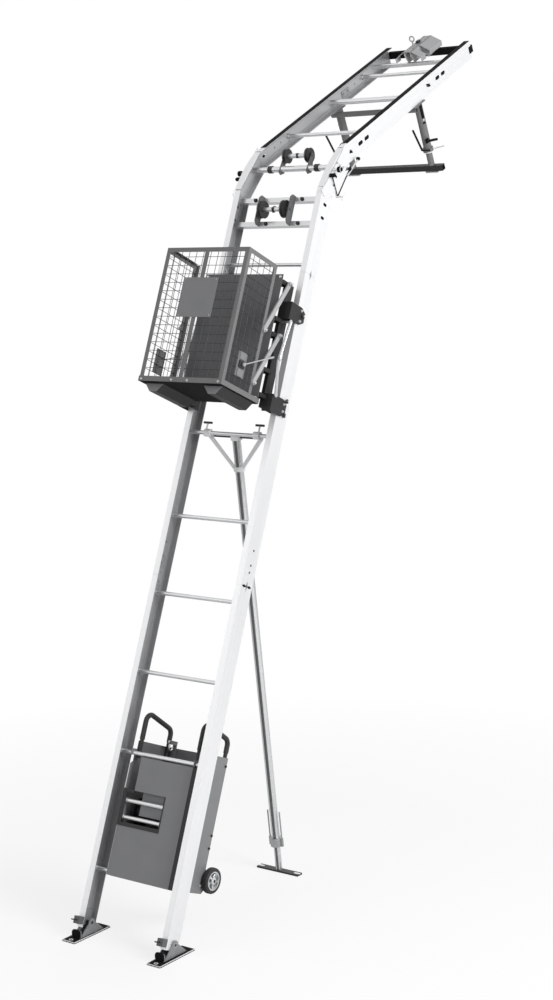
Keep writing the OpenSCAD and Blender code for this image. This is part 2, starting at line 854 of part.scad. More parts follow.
module winch_drum() color("gray") on_ladder() at(drum_n, drum_s) {
  rod_x(-side_out, gear_left + gear_bore - over, drum_shaft_r);
  rod_x(drum_left, drum_right, drum_r);
  for (x = [drum_left, drum_right - drum_flange_t]) rod_x(x, x + drum_flange_t, drum_flange_r);
}
module wheel_axle() color("silver") on_ladder() at(axle_n, axle_s) {
  end = side_out + wheel_gap + wheel_w + wheel_axle_end;
  rod_x(-end, end, axle_r);
}
module winch_wheels() color("dimgray") on_ladder() both_sides() at(axle_n, axle_s) {
  inner = side_out + wheel_gap;
  difference() {
    rod_x(inner, inner + wheel_w, wheel_r);
    rod_x(inner - over, inner + wheel_w + over, axle_r + run);
    for (x = [inner - over, inner + wheel_w - wheel_recess])
      tube_x(x, x + wheel_recess + over, wheel_r - wheel_rim, wheel_r - wheel_rim - wheel_hub_r);
  }
}

// Pulley block below the knee
module block_plates() color("silver") on_ladder() {
  axle_place = knee_low - (crossbar_low + crossbar_high) / 2;
  plate_back = rung_n - crossbar_d / 2 - fit;
  plate_low = knee_low - crossbar_low - block_margin;
  plate_high = knee_low - crossbar_high + block_margin;
  both_sides() difference() {
    sheet_x(block_x, block_x + block_plate_t) polygon([
      [block_front, plate_low + block_corner], [block_front, plate_high - block_corner],
      [block_front + block_corner, plate_high], [plate_back, plate_high],
      [plate_back, plate_low], [block_front + block_corner, plate_low]
    ]);
    at(0, axle_place) rod_x(block_x - over, block_x + block_plate_t + over, sheave_axle_r + run);
  }
  at(0, axle_place) rod_x(-block_x - block_plate_t - block_axle_end, block_x + block_plate_t + block_axle_end, sheave_axle_r);
}
module sheave_pair(r) difference() {
  union() {
    for (side = [-1, 1]) sheave(side * sheave_x, r, sheave_w, groove_depth, sheave_axle_r);
    rod_x(-sheave_x - sheave_w / 2, sheave_x + sheave_w / 2, sheave_hub_r);
  }
  rod_x(-block_x, block_x, sheave_axle_r + run);
}
module block_sheaves() color("black") on_ladder(0, knee_low - (crossbar_low + crossbar_high) / 2) sheave_pair(block_r);

// Knee
module knee_plate_shape() polygon([
  [0, -knee_plate_end], [knee_plate_nose, -knee_plate_end], [knee_plate_back, -knee_plate_end + knee_plate_slope],
  [knee_plate_back, knee_len + knee_plate_end - knee_plate_slope],
  [knee_plate_nose, knee_len + knee_plate_end], [0, knee_len + knee_plate_end]
]);
module knee_plates() color("silver") on_knee() both_sides() {
  plate_in = half_w + knee_plate_gap;
  plate_out = plate_in + knee_plate_t;
  gusset_out = plate_out + gusset_t;
  sheet_x(plate_in, plate_out) knee_plate_shape();
  for (u = [0, knee_len]) at(hinge_n, u) rod_x(web_in - lug_t, plate_out, knee_pin_r);
  sheet_x(plate_out - over, gusset_out) polygon([
    gusset_top, gusset_apex - [0, gusset_rim], gusset_apex + [gusset_rim, 0],
    gusset_back + [gusset_rim, 0], gusset_back + [0, gusset_rim]
  ]);
  at(gusset_apex[0], gusset_apex[1]) {
    rod_x(gusset_out - over, gusset_out + tee_len, tee_r);
    translate([gusset_out + tee_len, 0, -tee_bar / 2]) cylinder(r = tee_bar_r, h = tee_bar);
  }
  at(knob_v, knob_u) {
    rod_x(plate_out - over, half_w + knob_out - knob_t, knob_neck_r);
    rod_x(half_w + knob_out - knob_t, half_w + knob_out, knob_r);
  }
}
module knee_block() color("silver") on_knee() {
  both_sides() difference() {
    sheet_x(knee_block_x, knee_block_x + knee_block_t) polygon([
      [knee_axle_v - knee_block_rim, knee_axle_u + knee_block_rim], [knee_axle_v + knee_block_rim, knee_axle_u + knee_block_rim],
      [knee_rung_v + knee_rung_d, knee_rung_u], [knee_rung_v + knee_block_rim, knee_rung_u - knee_rung_d],
      [knee_rung_v - knee_block_rim, knee_rung_u - knee_rung_d]
    ]);
    at(knee_axle_v, knee_axle_u) rod_x(knee_block_x - over, knee_block_x + knee_block_t + over, sheave_axle_r + run);
    at(knee_rung_v, knee_rung_u) rod_x(knee_block_x - over, knee_block_x + knee_block_t + over, knee_rung_d / 2 + fit);
  }
  at(knee_axle_v, knee_axle_u)
    rod_x(-knee_block_x - knee_block_t - block_axle_end, knee_block_x + knee_block_t + block_axle_end, sheave_axle_r);
}
module knee_sheaves() color("black") on_knee() at(knee_axle_v, knee_axle_u) sheave_pair(knee_sheave_r);

// Top section fittings
module top_rungs() color("silver") on_top() {
  for (t = top_rung_places) rung(top_rung_d, t);
  at(top_rung_d, leg_cross_t) tube_x(-web_in + fit, web_in - fit, leg_cross_d / 2, leg_cross_wall);
  slab([-web_in + fit, hood_seat + fit, seat_bar_t - seat_bar / 2],
    [web_in - fit, hood_seat + fit + seat_bar, seat_bar_t + seat_bar / 2]);
}
module top_trim() color("black") on_top() {
  both_sides() slab([flange_in, -strip_t - fit, strip_from], [half_w, -fit, top_len]);
  slab([-half_w, end_bar_front, top_len + fit], [half_w, end_bar_back, top_len + fit + end_bar_t]);
}
module hood_cheek() difference() {
  polygon([
    [hood_top + over, hood_from], [hood_top + over, top_len], [hood_foot_back, top_len],
    [hood_foot_back, top_len - hood_foot], [hood_seat, top_len - hood_foot - hood_foot_back + hood_seat],
    [hood_seat, hood_from + hood_seat], [hood_top + hood_seat, hood_from]
  ]);
  translate([head_axle_d, head_axle_t]) circle(sheave_axle_r + run);
}
module hood_wing(from, to) translate([0, 0, from]) linear_extrude(to - from) polygon([
  [hood_half - over, hood_top], [hood_half, hood_top], [wing_out, hood_top + wing_drop],
  [wing_out, hood_top + wing_drop + wing_lip], [wing_out - hood_t, hood_top + wing_drop + wing_lip],
  [wing_out - hood_t, hood_top + wing_drop + hood_t], [hood_half, hood_top + hood_t], [hood_half - over, hood_top + hood_t]
]);
module head_hood() color("darkgray") on_top() {
  slab([-hood_half, hood_top, hood_from], [hood_half, hood_top + hood_t, hood_to]);
  both_sides() {
    sheet_x(hood_cheek_x - hood_t, hood_cheek_x) hood_cheek();
    hood_wing(hood_from, wing_low_to);
    hood_wing(wing_high_from, hood_to);
  }
  translate([0, hood_top - fit, eye_t]) rotate([90, 0, 0]) {
    cylinder(r = eye_shank_r, h = eye_shank);
    translate([0, 0, eye_shank + eye_ring_r]) rotate([90, 0, 0])
      rotate_extrude() translate([eye_ring_r, 0]) circle(eye_wire_r);
  }
  slab([-hood_nut_half, hood_top - fit - hood_nut_h, hood_nut_from], [hood_nut_half, hood_top - fit, hood_nut_to]);
}
module head_sheave() color("black") on_top() at(head_axle_d, head_axle_t) {
  sheave(0, head_sheave_r, head_sheave_w, groove_depth, sheave_axle_r / 2);
  rod_x(-hood_cheek_x, hood_cheek_x, sheave_axle_r);
}

// Roof support
module support_sleeve() translate([rail_mid, rail_depth + fit, leg_t]) rotate([-90, 0, 0]) difference() {
  union() {
    cylinder(d = sleeve_d, h = sleeve_len);
    translate([0, 0, sleeve_len - leg_collar_h]) cylinder(d = leg_collar_d, h = leg_collar_h);
  }
  translate([0, 0, leg_bracket_t]) cylinder(d = leg_d + 2 * slide, h = sleeve_len + over);
}
module support_sleeves() color("gray") on_top() {
  both_sides() {
    support_sleeve();
    difference() {
      slab([flange_in - leg_bracket_in, rail_depth + fit, leg_t - 2 * leg_bracket_half],
        [half_w + leg_bracket_out, rail_depth + fit + leg_bracket_t, leg_t + leg_bracket_half]);
      translate([rail_mid, rail_depth, leg_t]) rotate([-90, 0, 0]) cylinder(d = sleeve_d, h = 2 * leg_bracket_t);
    }
  }
  at(rail_depth + leg_bracket_t + 2 * fit + leg_cross_d / 2, leg_cross_t)
    tube_x(-half_w, half_w, leg_cross_d / 2, leg_cross_wall);
}
module support_legs() color("darkgray") on_top() both_sides() {
  leg_end = rest_d - rest_bar / 2 - fit;
  sole = rest_d + rest_bar / 2 + fit;
  translate([rail_mid, leg_top, leg_t]) rotate([-90, 0, 0]) tube_z(0, leg_end - leg_top, leg_d / 2, leg_wall);
  slab([rail_mid - sole_half, sole, leg_t - rest_bar / 2], [rail_mid + sole_half, sole + sole_t, leg_t + rest_bar / 2]);
}
module support_bar() color("dimgray") on_top() {
  end = rail_mid + rest_reach;
  inside = rest_bar / 2 - rest_wall;
  difference() {
    slab([-end, rest_d - rest_bar / 2, leg_t - rest_bar / 2], [end, rest_d + rest_bar / 2, leg_t + rest_bar / 2]);
    slab([-end - over, rest_d - inside, leg_t - inside], [end + over, rest_d + inside, leg_t + inside]);
  }
}

// Prop
module prop_yoke() color("gray") on_prop() difference() {
  union() {
    translate([0, yoke_front + yoke_t, 0]) rotate([90, 0, 0]) linear_extrude(yoke_t) union() {
      translate([-yoke_half, -yoke_bar_low]) square([2 * yoke_half, yoke_bar]);
      polygon([
        [-yoke_half, over - yoke_bar_low], [-yoke_half, -yoke_bar_low], [0, -yoke_apex],
        [yoke_half, -yoke_bar_low], [yoke_half, over - yoke_bar_low],
        [yoke_half - yoke_arm, over - yoke_bar_low], [0, yoke_arm - yoke_apex],
        [yoke_arm - yoke_half, over - yoke_bar_low]
      ]);
      for (side = [0, 1]) mirror([side, 0]) translate([yoke_sleeve_in, -yoke_bar_low])
        square([yoke_half - yoke_sleeve_in, yoke_bar_low]);
    }
    both_sides() rod_x(yoke_sleeve_in, yoke_half, yoke_sleeve_r);
    for (z = [prop_top - yoke_ring_h, yoke_arm - yoke_apex]) translate([0, prop_offset, z])
      cylinder(r = yoke_ring_r, h = yoke_ring_h);
  }
  rod_x(-half_w, half_w, rung_r + run);
  translate([0, prop_offset, -prop_ground]) cylinder(d = prop_d + 2 * fit, h = 2 * prop_ground);
}
module prop_tube() color("silver") on_prop() translate([0, prop_offset, 0]) difference() {
  translate([0, 0, prop_clamp_h - prop_ground]) cylinder(d = prop_d, h = prop_ground - prop_clamp_h + prop_top);
  translate([0, 0, -prop_ground]) cylinder(d = prop_leg_d + 2 * slide, h = prop_ground + prop_top - prop_wall);
}
module prop_clamp() color("gray") on_prop() translate([0, prop_offset, prop_clamp_h - prop_ground]) {
  difference() {
    union() {
      cylinder(r = prop_clamp_r, h = prop_clamp_len);
      both_sides() slab([0, -prop_clamp_ear / 2, 0],
        [prop_clamp_r + prop_clamp_ear, prop_clamp_ear / 2, prop_clamp_len]);
    }
    translate([0, 0, -over]) cylinder(d = prop_d + 2 * fit, h = prop_clamp_len + 2 * over);
  }
  both_sides() translate([prop_clamp_r + prop_clamp_ear / 2, 0, prop_clamp_len + fit])
    cylinder(r = prop_clamp_rod_r, h = prop_clamp_rod);
}
module prop_leg() color("silver") difference() {
  on_prop() translate([0, prop_offset, 0]) tube_z(-prop_ground, prop_leg_top - prop_ground, prop_leg_d / 2, prop_leg_wall);
  on_ground() translate([-ladder_w, 0, -ladder_w]) cube([2 * ladder_w, 2 * prop_foot_y, ladder_w + prop_foot_t + fit]);
}
module prop_foot() color("dimgray") on_ground() difference() {
  slab([-prop_foot_w / 2, prop_foot_y - prop_foot_d / 2, 0], [prop_foot_w / 2, prop_foot_y + prop_foot_d / 2, prop_foot_t]);
  both_sides() translate([prop_foot_w / 2 - prop_foot_hole_in, prop_foot_y, -over])
    cylinder(r = prop_foot_hole_r, h = prop_foot_t + 2 * over);
}

// Carriage
module carriage_frame() color("black") on_ladder() {
  both_sides() {
    difference() {
      slab([upright_in, upright_front, upright_low], [upright_out, upright_back, link_high + link_w / 2]);
      at(lever_n, lever_s) rod_x(0, ladder_w, lever_shaft_r + run);
    }
    for (s = [link_low, link_high]) at(link_n, s) rod_x(cross_half - over, link_out + link_pin_end, link_pin_r);
  }
  for (s = cross_places) difference() {
    slab([-cross_half, cross_front, s - cross_bar / 2], [cross_half, cross_back, s + cross_bar / 2]);
    slab([-cross_half + cross_end, cross_front + tube_wall, s - cross_bar / 2 - over],
      [cross_half - cross_end, cross_back - tube_wall, s + cross_bar / 2 - tube_wall]);
  }
}
module roller_bracket(s) both_sides() {
  slab([inner_in, bridge_front, s - bridge_half], [outer_out, bridge_back, s + bridge_half]);
  difference() {
    union() {
      slab([inner_in, bridge_back + fit, s - inner_half], [inner_out, inner_back, s + inner_half]);
      sheet_x(outer_in, outer_out) translate([0, s]) polygon([
        [bridge_back + fit, -bridge_half], [outer_step, -bridge_half], [outer_back, -outer_end_half],
        [outer_back, outer_end_half], [outer_step, bridge_half], [bridge_back + fit, bridge_half]
      ]);
    }
    at(roller_n, s) rod_x(0, ladder_w, roller_axle_r + run);
    at(counter_n, s) rod_x(0, inner_out + over, counter_axle_r + run);
  }
  slab([half_w + pad_gap, pad_front, s - pad_half], [outer_in - fit, pad_back, s + pad_half]);
}
module roller_brackets() color("gray") on_ladder() {
  roller_bracket(carriage_s);
  roller_bracket(upper_block);
}
module back_panel() color("dimgray") on_ladder()
  slab([-panel_w / 2, panel_front, panel_low], [panel_w / 2, panel_front + panel_t, panel_low + panel_h]);
module front_rollers(s) color("black") on_ladder() both_sides() at(roller_n, s) {
  rod_x(rail_mid - roller_w / 2, rail_mid + roller_w / 2, roller_r);
  rod_x(inner_in, outer_out, roller_axle_r);
}
module counter_rollers(s) color("black") on_ladder() both_sides() at(counter_n, s) {
  rod_x(rail_mid - rail_wall / 2 - counter_w / 2, rail_mid - rail_wall / 2 + counter_w / 2, counter_r);
  rod_x(inner_in, rail_mid, counter_axle_r);
}
module catch_levers() color("silver") on_ladder(0, lever_s) {
  lever_in = max(outer_out, link_out + link_pin_end) + lever_gap;
  shaft_end = lever_in + lever_t + lever_pin_end;
  at(lever_n, 0) rod_x(-shaft_end, shaft_end, lever_shaft_r);
  both_sides() sheet_x(lever_in, lever_in + lever_t) union() {
    translate([lever_n, 0]) circle(lever_boss_r);
    translate(lever_end) circle(lever_boss_r);
    polygon([
      for (place = [[lever_n, 0], lever_knee, lever_end]) place - [lever_w / 2, 0],
      for (place = [lever_end, lever_knee, [lever_n, 0]]) place + [lever_w / 2, 0]
    ]);
  }
}
module link(s) on_ladder(link_n, s) both_sides() rotate([-link_deg, 0, 0]) mirror([0, 0, 1])
  sheet_x(link_in, link_out) difference() {
    union() {
      circle(d = link_w);
      translate([0, link_len]) circle(d = link_w);
      translate([-link_w / 2, 0]) square([link_w, link_len]);
    }
    circle(link_pin_r + run);
    translate([0, link_len]) circle(link_pin_r + run);
  }
module upper_links() color("silver") link(link_high);
module lower_links() color("silver") link(link_low);

// Cage
module angle_post(n, way) translate([0, n, tray_low + tray_t + fit]) linear_extrude(cage_top - tray_low - tray_t - fit) polygon([
  [cage_half, 0], [cage_half, way * post_w], [cage_half - post_t, way * post_w],
  [cage_half - post_t, way * post_t], [cage_half - post_w, way * post_t], [cage_half - post_w, 0]
]);
module angle_shape() polygon([[0, 0], [post_w, 0], [post_w, -post_t], [post_t, -post_t], [post_t, -post_w], [0, -post_w]]);
module cage_frame() color("gray") on_ladder() {
  both_sides() {
    angle_post(cage_front, 1);
    angle_post(cage_back, -1);
    sheet_n(cage_front + post_w + fit, cage_back - post_w - fit) translate([cage_half, cage_top]) mirror([1, 0]) angle_shape();
    for (s = [link_low - cage_pivot_drop, link_high - cage_pivot_drop]) at(cage_pivot_n, s)
      rod_x(cage_half - over, link_out + link_pin_end, link_pin_r);
    slab([net_side + fit, latch_n - latch_plate_half, latch_s - latch_plate_low],
      [net_side + fit + latch_plate_t, latch_n + latch_plate_half, latch_s + latch_plate_high]);
    at(latch_n, latch_s) rod_x(net_side + latch_plate_t, link_out + link_pin_end + latch_gap + latch_w, latch_pin_r);
  }
  sheet_x(-cage_half + post_w + fit, cage_half - post_w - fit) translate([cage_front, cage_top]) angle_shape();
  slab([-mid_post_w / 2, cage_front, tray_low + tray_t + fit], [mid_post_w / 2, cage_front + post_t, cage_top - post_w - fit]);
}
module skid_shape(inset) polygon([
  [-skid_top_half + inset, 0 - inset], [-skid_low_half + inset, inset - skid_h],
  [skid_low_half - inset, inset - skid_h], [skid_top_half - inset, 0 - inset]
]);
module cage_tray() color("dimgray") on_ladder() {
  slab([-cage_half, cage_front, tray_low], [cage_half, tray_back, tray_low + tray_t]);
  slab([-cage_half - fit - tray_t, cage_front - fit - tray_t, tray_low], [cage_half + fit + tray_t, cage_front - fit, lip_top]);
  floor_low = tray_low + tray_t + fit;
  floor_half = cage_half - post_w - floor_gap;
  slab([-floor_half, cage_front + post_w + floor_gap, floor_low], [floor_half, tray_back - floor_gap, floor_low + floor_t]);
  both_sides() {
    slab([cage_half + fit, cage_front, tray_low], [cage_half + fit + tray_t, tray_back, lip_top]);
    sheet_n(skid_front, skid_back) translate([skid_x, tray_low - fit]) difference() {
      skid_shape(0);
      skid_shape(skid_wall);
    }
  }
}
module net(w, h) {
  columns = floor(w / (mesh_gap + wire_d));
  rows = floor(h / (mesh_gap + wire_d));
  step_x = (w - wire_d) / columns;
  step_y = (h - wire_d) / rows;
  difference() {
    square([w, h]);
    for (i = [0:columns - 1], j = [0:rows - 1]) translate([i * step_x + wire_d, j * step_y + wire_d])
      square([step_x - wire_d, step_y - wire_d]);
  }
}
module cage_mesh() color("lightgray") on_ladder() {
  net_h = cage_top - post_t - fit - net_low;
  front_half = net_side - wire_d - fit;
  side_from = net_front + wire_d + fit;
  sheet_n(net_front, net_front + wire_d) translate([-front_half, net_low]) net(2 * front_half, net_h);
  both_sides() sheet_x(net_side - wire_d, net_side) translate([side_from, net_low])
    net(cage_back - post_t - fit - side_from, net_h);
}
module sign_plate() color("whitesmoke") on_ladder()
  slab([-sign_w / 2, cage_front - fit - sign_t, sign_low], [sign_w / 2, cage_front - fit, sign_low + sign_h]);
module latch() color("silver") on_ladder(latch_n, latch_s) {
  from = link_out + link_pin_end + latch_gap;
  tube_x(from, from + latch_w, latch_eye_r, latch_eye_r - latch_pin_r - run);
  translate([from + latch_w / 2, 0, 0]) rotate([latch_deg - 90, 0, 0])
    translate([0, 0, (latch_eye_r + latch_pin_r) / 2]) cylinder(r = latch_rod_r, h = latch_len);
}

mirror([1, 0, 0]) base_rail();  // base_rail_left
base_rail();  // base_rail_right
mirror([1, 0, 0]) upper_rail();  // upper_rail_left
upper_rail();  // upper_rail_right
stub_rails();
ladder_rungs();
stub_crossbars();
rail_splices();
bottom_stops();
foot_pins();
winch_cover();
winch_sides();
winch_shell();
winch_handles();
gear_motor();
wheel_axle();
block_plates();
winch_drum();
fairlead(fairlead_high_s);  // fairlead_upper
fairlead(fairlead_low_s);  // fairlead_lower
winch_wheels();
snap_hook();
block_sheaves();
mirror([1, 0, 0]) foot();  // foot_left
foot();  // foot_right
prop_yoke();
prop_tube();
prop_clamp();
prop_leg();
prop_foot();
carriage_frame();
roller_brackets();
back_panel();
front_rollers(upper_block);  // front_rollers_upper
front_rollers(carriage_s);  // front_rollers_lower
counter_rollers(upper_block);  // counter_rollers_upper
counter_rollers(carriage_s);  // counter_rollers_lower
catch_levers();
upper_links();
lower_links();
cage_frame();
cage_tray();
cage_mesh();
sign_plate();
mirror([1, 0, 0]) latch();  // latch_left
latch();  // latch_right
knee_rails();
knee_plates();
knee_block();
knee_sheaves();
top_rails();
head_rails();
top_rungs();
top_splices();
top_trim();
head_hood();
head_sheave();
support_sleeves();
support_legs();
support_bar();
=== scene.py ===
"""Finishes and fine detail for the material hoist, with a plain studio to show it in.

Lengths are metres. Pieces are written in the frame of what carries them: across (x), back (n) and along (s).
"""

import math

import bmesh
import bpy
import numpy as np
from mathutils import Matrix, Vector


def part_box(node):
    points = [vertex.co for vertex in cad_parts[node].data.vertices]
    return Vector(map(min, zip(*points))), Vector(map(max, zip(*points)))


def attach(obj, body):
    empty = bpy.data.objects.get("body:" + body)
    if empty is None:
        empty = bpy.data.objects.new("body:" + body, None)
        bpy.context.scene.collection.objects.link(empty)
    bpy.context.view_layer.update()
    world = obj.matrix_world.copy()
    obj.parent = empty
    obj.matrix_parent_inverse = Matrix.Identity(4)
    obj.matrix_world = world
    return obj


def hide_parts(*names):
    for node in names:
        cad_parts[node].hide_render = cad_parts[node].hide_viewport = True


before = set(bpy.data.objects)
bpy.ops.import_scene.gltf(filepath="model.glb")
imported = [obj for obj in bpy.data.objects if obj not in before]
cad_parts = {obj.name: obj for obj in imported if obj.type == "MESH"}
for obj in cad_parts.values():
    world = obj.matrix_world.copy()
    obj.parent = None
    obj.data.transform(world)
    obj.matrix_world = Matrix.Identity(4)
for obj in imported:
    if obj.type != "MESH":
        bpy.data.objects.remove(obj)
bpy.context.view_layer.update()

bl_info = {
    "name": "Material hoist dress",
    "version": (1, 0, 0),
    "blender": (4, 5, 0),
    "location": "View3D > Sidebar > Hoist",
    "description": "Finishes and fine detail for the material hoist",
    "category": "Object",
}

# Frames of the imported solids
LEAN = 20.4
HALF_BEND = 21.35
PROP_LEAN = 9.2
FOOT_S = 0.110
FOOT_N = 0.070
FOOT_FRONT = 0.174
FOOT_BACK = 0.156
KNEE_LOW = 4.823
KNEE_REACH = 0.180
HINGE_N = 0.024
PROP_S = 3.206
PROP_BACK = 0.0363
RUNG_N = 0.060


def shift(y, z):
    """Move by y and z as a 4 by 4 matrix."""
    move = np.eye(4)
    move[1, 3] = y
    move[2, 3] = z
    return move


def lean_back(degrees):
    """Turn about X that leans the up direction back, as a 4 by 4 matrix."""
    angle = math.radians(degrees)
    turn = np.eye(4)
    turn[1, 1] = math.cos(angle)
    turn[2, 2] = math.cos(angle)
    turn[1, 2] = math.sin(angle)
    turn[2, 1] = -math.sin(angle)
    return turn


FOOT_Y = (lean_back(LEAN) @ (0, FOOT_N, FOOT_S, 1))[1]
FOOT_Z = (lean_back(LEAN) @ (0, FOOT_N, FOOT_S, 1))[2]
PROP_Y, PROP_Z = (lean_back(LEAN) @ (0, RUNG_N, PROP_S, 1))[1:3]
GROUND = shift(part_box("foot_left")[0].y - FOOT_Y + FOOT_FRONT, 0)
KNEE_LEN = 2 * KNEE_REACH * math.cos(math.radians(HALF_BEND))
LADDER = GROUND @ lean_back(LEAN)
KNEE = LADDER @ shift(HINGE_N, KNEE_LOW) @ lean_back(HALF_BEND) @ shift(-HINGE_N, 0)
TOP = KNEE @ shift(HINGE_N, KNEE_LEN) @ lean_back(HALF_BEND) @ shift(-HINGE_N, 0)
PROP = GROUND @ shift(PROP_Y, PROP_Z) @ lean_back(-PROP_LEAN)
PROP_LEN = (PROP_Z + PROP_BACK * math.sin(math.radians(PROP_LEAN))) / math.cos(math.radians(PROP_LEAN))

# Rails and rungs
RAIL_OUT = 0.340
WEB_IN = 0.335
FLANGE_IN = 0.298
RAIL_MID = 0.319
RUNG_R = 0.013
RUNG_PLACES = (0.433, 1.156, 1.656, 2.156, 2.656, 3.756, 4.330)
TOP_RUNG_N = 0.056
TOP_RUNG_PLACES = (0.388, 1.449)

# Shading and edges
SHARP = math.radians(35)
EASE = 0.0008

# Sides and steps of round shapes
ROUND_SIDES = 24
ROD_SIDES = 16
SMOOTH_SIDES = 32
WIRE_SIDES = 8
HEXAGON = 6
WASHER_SIDES = 20
BALL_STEPS = 9
CORNER_STEPS = 5
ARC_STEPS = 9


def srgb(code):
    """Linear colour of an sRGB hex code: ((c + 0.055) / 1.055) ** 2.4, or c / 12.92 below 0.04045."""
    parts = np.array([int(code[i:i + 2], 16) for i in (0, 2, 4)]) / 255
    linear = np.where(parts > 0.04045, ((parts + 0.055) / 1.055) ** 2.4, parts / 12.92)
    return tuple(float(part) for part in linear)


class HoistSizes(bpy.types.PropertyGroup):
    """Sizes of the fine detail"""

    wire: bpy.props.FloatProperty(
        name="Wire", description="Diameter of the cage wires", default=0.0036, unit="LENGTH")
    bolt: bpy.props.FloatProperty(
        name="Bolt", description="Width across the corners of the larger bolt heads", default=0.022,
        unit="LENGTH")
    screw: bpy.props.FloatProperty(
        name="Screw", description="Width across the corners of the smaller bolt heads", default=0.014,
        unit="LENGTH")
    tooth: bpy.props.FloatProperty(
        name="Tooth", description="Spacing of the teeth under the feet", default=0.022, unit="LENGTH")
    collar: bpy.props.FloatProperty(
        name="Collar", description="Width of the collars at the rung ends", default=0.012, unit="LENGTH")
    tread: bpy.props.FloatProperty(
        name="Tread", description="Depth of the grooves in the tyres", default=0.003, unit="LENGTH")


class HoistColours(bpy.types.PropertyGroup):
    """Colours of the finishes"""

    rail: bpy.props.FloatVectorProperty(
        name="Rail", description="Bright aluminium of the rails", default=srgb("ECEDEE"), subtype="COLOR")
    # Painted shade: the colour inside the ladder rails' channels is darker than the rail, for the shade that
    # falls there.
    rail_inside_shade: bpy.props.FloatVectorProperty(
        name="Rail inside", description="Dull inside of the ladder rails", default=srgb("A0A1A2"),
        subtype="COLOR")
    # Painted shade: a darker colour inside the top section's channels, for the shade that falls there.
    top_inside_shade: bpy.props.FloatVectorProperty(
        name="Top inside", description="Inside of the top section's rails", default=srgb("B4B5B6"),
        subtype="COLOR")
    cage: bpy.props.FloatVectorProperty(
        name="Cage", description="Grey paint of the cage", default=srgb("6C6C6D"), subtype="COLOR")
    cover: bpy.props.FloatVectorProperty(
        name="Winch", description="Grey paint of the winch and the sign plate", default=srgb("7A7B7C"),
        subtype="COLOR")
    # The pale strips on the feet's plate edges take this colour as painted highlights.
    pale: bpy.props.FloatVectorProperty(
        name="Pale", description="Pale paint of the prop's yoke and the cut plate edges",
        default=srgb("E4E5E6"), subtype="COLOR")
    link: bpy.props.FloatVectorProperty(
        name="Link", description="Light grey paint of the cage's links and the hood", default=srgb("A4A5A6"),
        subtype="COLOR")
    panel: bpy.props.FloatVectorProperty(
        name="Panel", description="Dark paint of the cage's back panel", default=srgb("595A5B"),
        subtype="COLOR")
    black: bpy.props.FloatVectorProperty(
        name="Black", description="Black paint of the carriage and trims", default=srgb("1C1C1D"),
        subtype="COLOR")


# Shapes as grids of points


def surface(points, wrap_rows=False, cap=True):
    """Faces between neighbouring points of a grid whose columns run round, with its two ends capped."""
    rows, columns = points.shape[:2]
    index = np.arange(rows * columns).reshape(rows, columns)
    ends = [index[:1, ::-1], index[-1:]]
    index = np.concatenate([index, index[:, :1]], axis=1)
    if wrap_rows:
        index = np.concatenate([index, index[:1]], axis=0)
    corners = [index[:-1, :-1], index[:-1, 1:], index[1:, 1:], index[1:, :-1]]
    quads = np.stack(corners, axis=-1).reshape(-1, 4)
    return points.reshape(-1, 3), [quads] + (ends if cap else [])


def join(*parts):
    """One part of several: their points end to end, with the faces renumbered."""
    starts = np.cumsum([0] + [len(points) for points, blocks in parts])
    blocks = [block + start for (points, faces), start in zip(parts, starts) for block in faces]
    return np.concatenate([points for points, faces in parts]), blocks


def repeat(part, places):
    """A part moved to each place of a list of (x, n, s)."""
    points, blocks = part
    places = np.asarray(places, float).reshape(-1, 3)
    steps = np.arange(len(places)) * len(points)
    moved = (points[None] + places[:, None]).reshape(-1, 3)
    return moved, [(block[None] + steps[:, None, None]).reshape(-1, block.shape[1]) for block in blocks]


def mirror(part):
    """A part's mirror image across the middle plane, its faces turned round."""
    points, blocks = part
    return points * (-1, 1, 1), [block[:, ::-1] for block in blocks]


def both_sides(part):
    """A part and its mirror image."""
    return join(part, mirror(part))


def along(axis, places, start=(0, 0, 0)):
    """Places spread along one axis (0, 1 or 2) from a start."""
    spread = np.tile(np.asarray(start, float), (len(places), 1))
    spread[:, axis] += places
    return spread


def axes_of(axis):
    """An axis as a unit direction, and two more square to it."""
    axis = np.asarray(axis, float) / np.linalg.norm(axis)
    first = np.cross(axis, np.eye(3)[np.argmin(np.abs(axis))])
    first /= np.linalg.norm(first)
    return axis, first, np.cross(axis, first)


def lathe(origin, axis, profile, sides=ROUND_SIDES):
    """Turned shape: each profile row (way, radius) gives a ring origin + axis way + radius (cos, sin)."""
    way, radius = np.asarray(profile, float).T
    axis, first, second = axes_of(axis)
    angle = np.arange(sides)[:, None] * (2 * math.pi / sides)
    spokes = first * np.cos(angle) + second * np.sin(angle)
    middle = np.asarray(origin, float) + axis * way[:, None]
    return surface(middle[:, None] + spokes[None] * radius[:, None, None])


def rod(start, end, radius, sides=ROD_SIDES, ease=EASE):
    """Round bar between two points, its ends eased."""
    start = np.asarray(start, float)
    axis = np.asarray(end, float) - start
    length = np.linalg.norm(axis)
    profile = [(0, radius - ease), (ease, radius), (length - ease, radius), (length, radius - ease)]
    return lathe(start, axis, profile, sides)


def tube(start, end, radius, bore, sides=ROUND_SIDES):
    """Hollow round bar: outside and bore as one closed profile turned about the line."""
    start = np.asarray(start, float)
    axis, first, second = axes_of(np.asarray(end, float) - start)
    length = np.linalg.norm(np.asarray(end, float) - start)
    profile = [(0, bore), (0, radius), (length, radius), (length, bore)]
    points, blocks = lathe(start, axis, profile, sides)
    index = np.arange(4 * sides).reshape(4, sides)
    inside = surface(points.reshape(4, sides, 3)[[3, 0]], cap=False)[1][0]
    names = np.concatenate([index[3], index[0]])
    return points, [blocks[0], names[inside]]


def ball(centre, radius, sides=ROD_SIDES, steps=BALL_STEPS):
    """Sphere as a lathe of a half circle, closed by small end caps."""
    angle = np.linspace(0, math.pi, steps + 2)[1:-1]
    profile = np.stack([-radius * np.cos(angle), radius * np.sin(angle)], axis=1)
    return lathe(centre, (1, 0, 0), profile, sides)


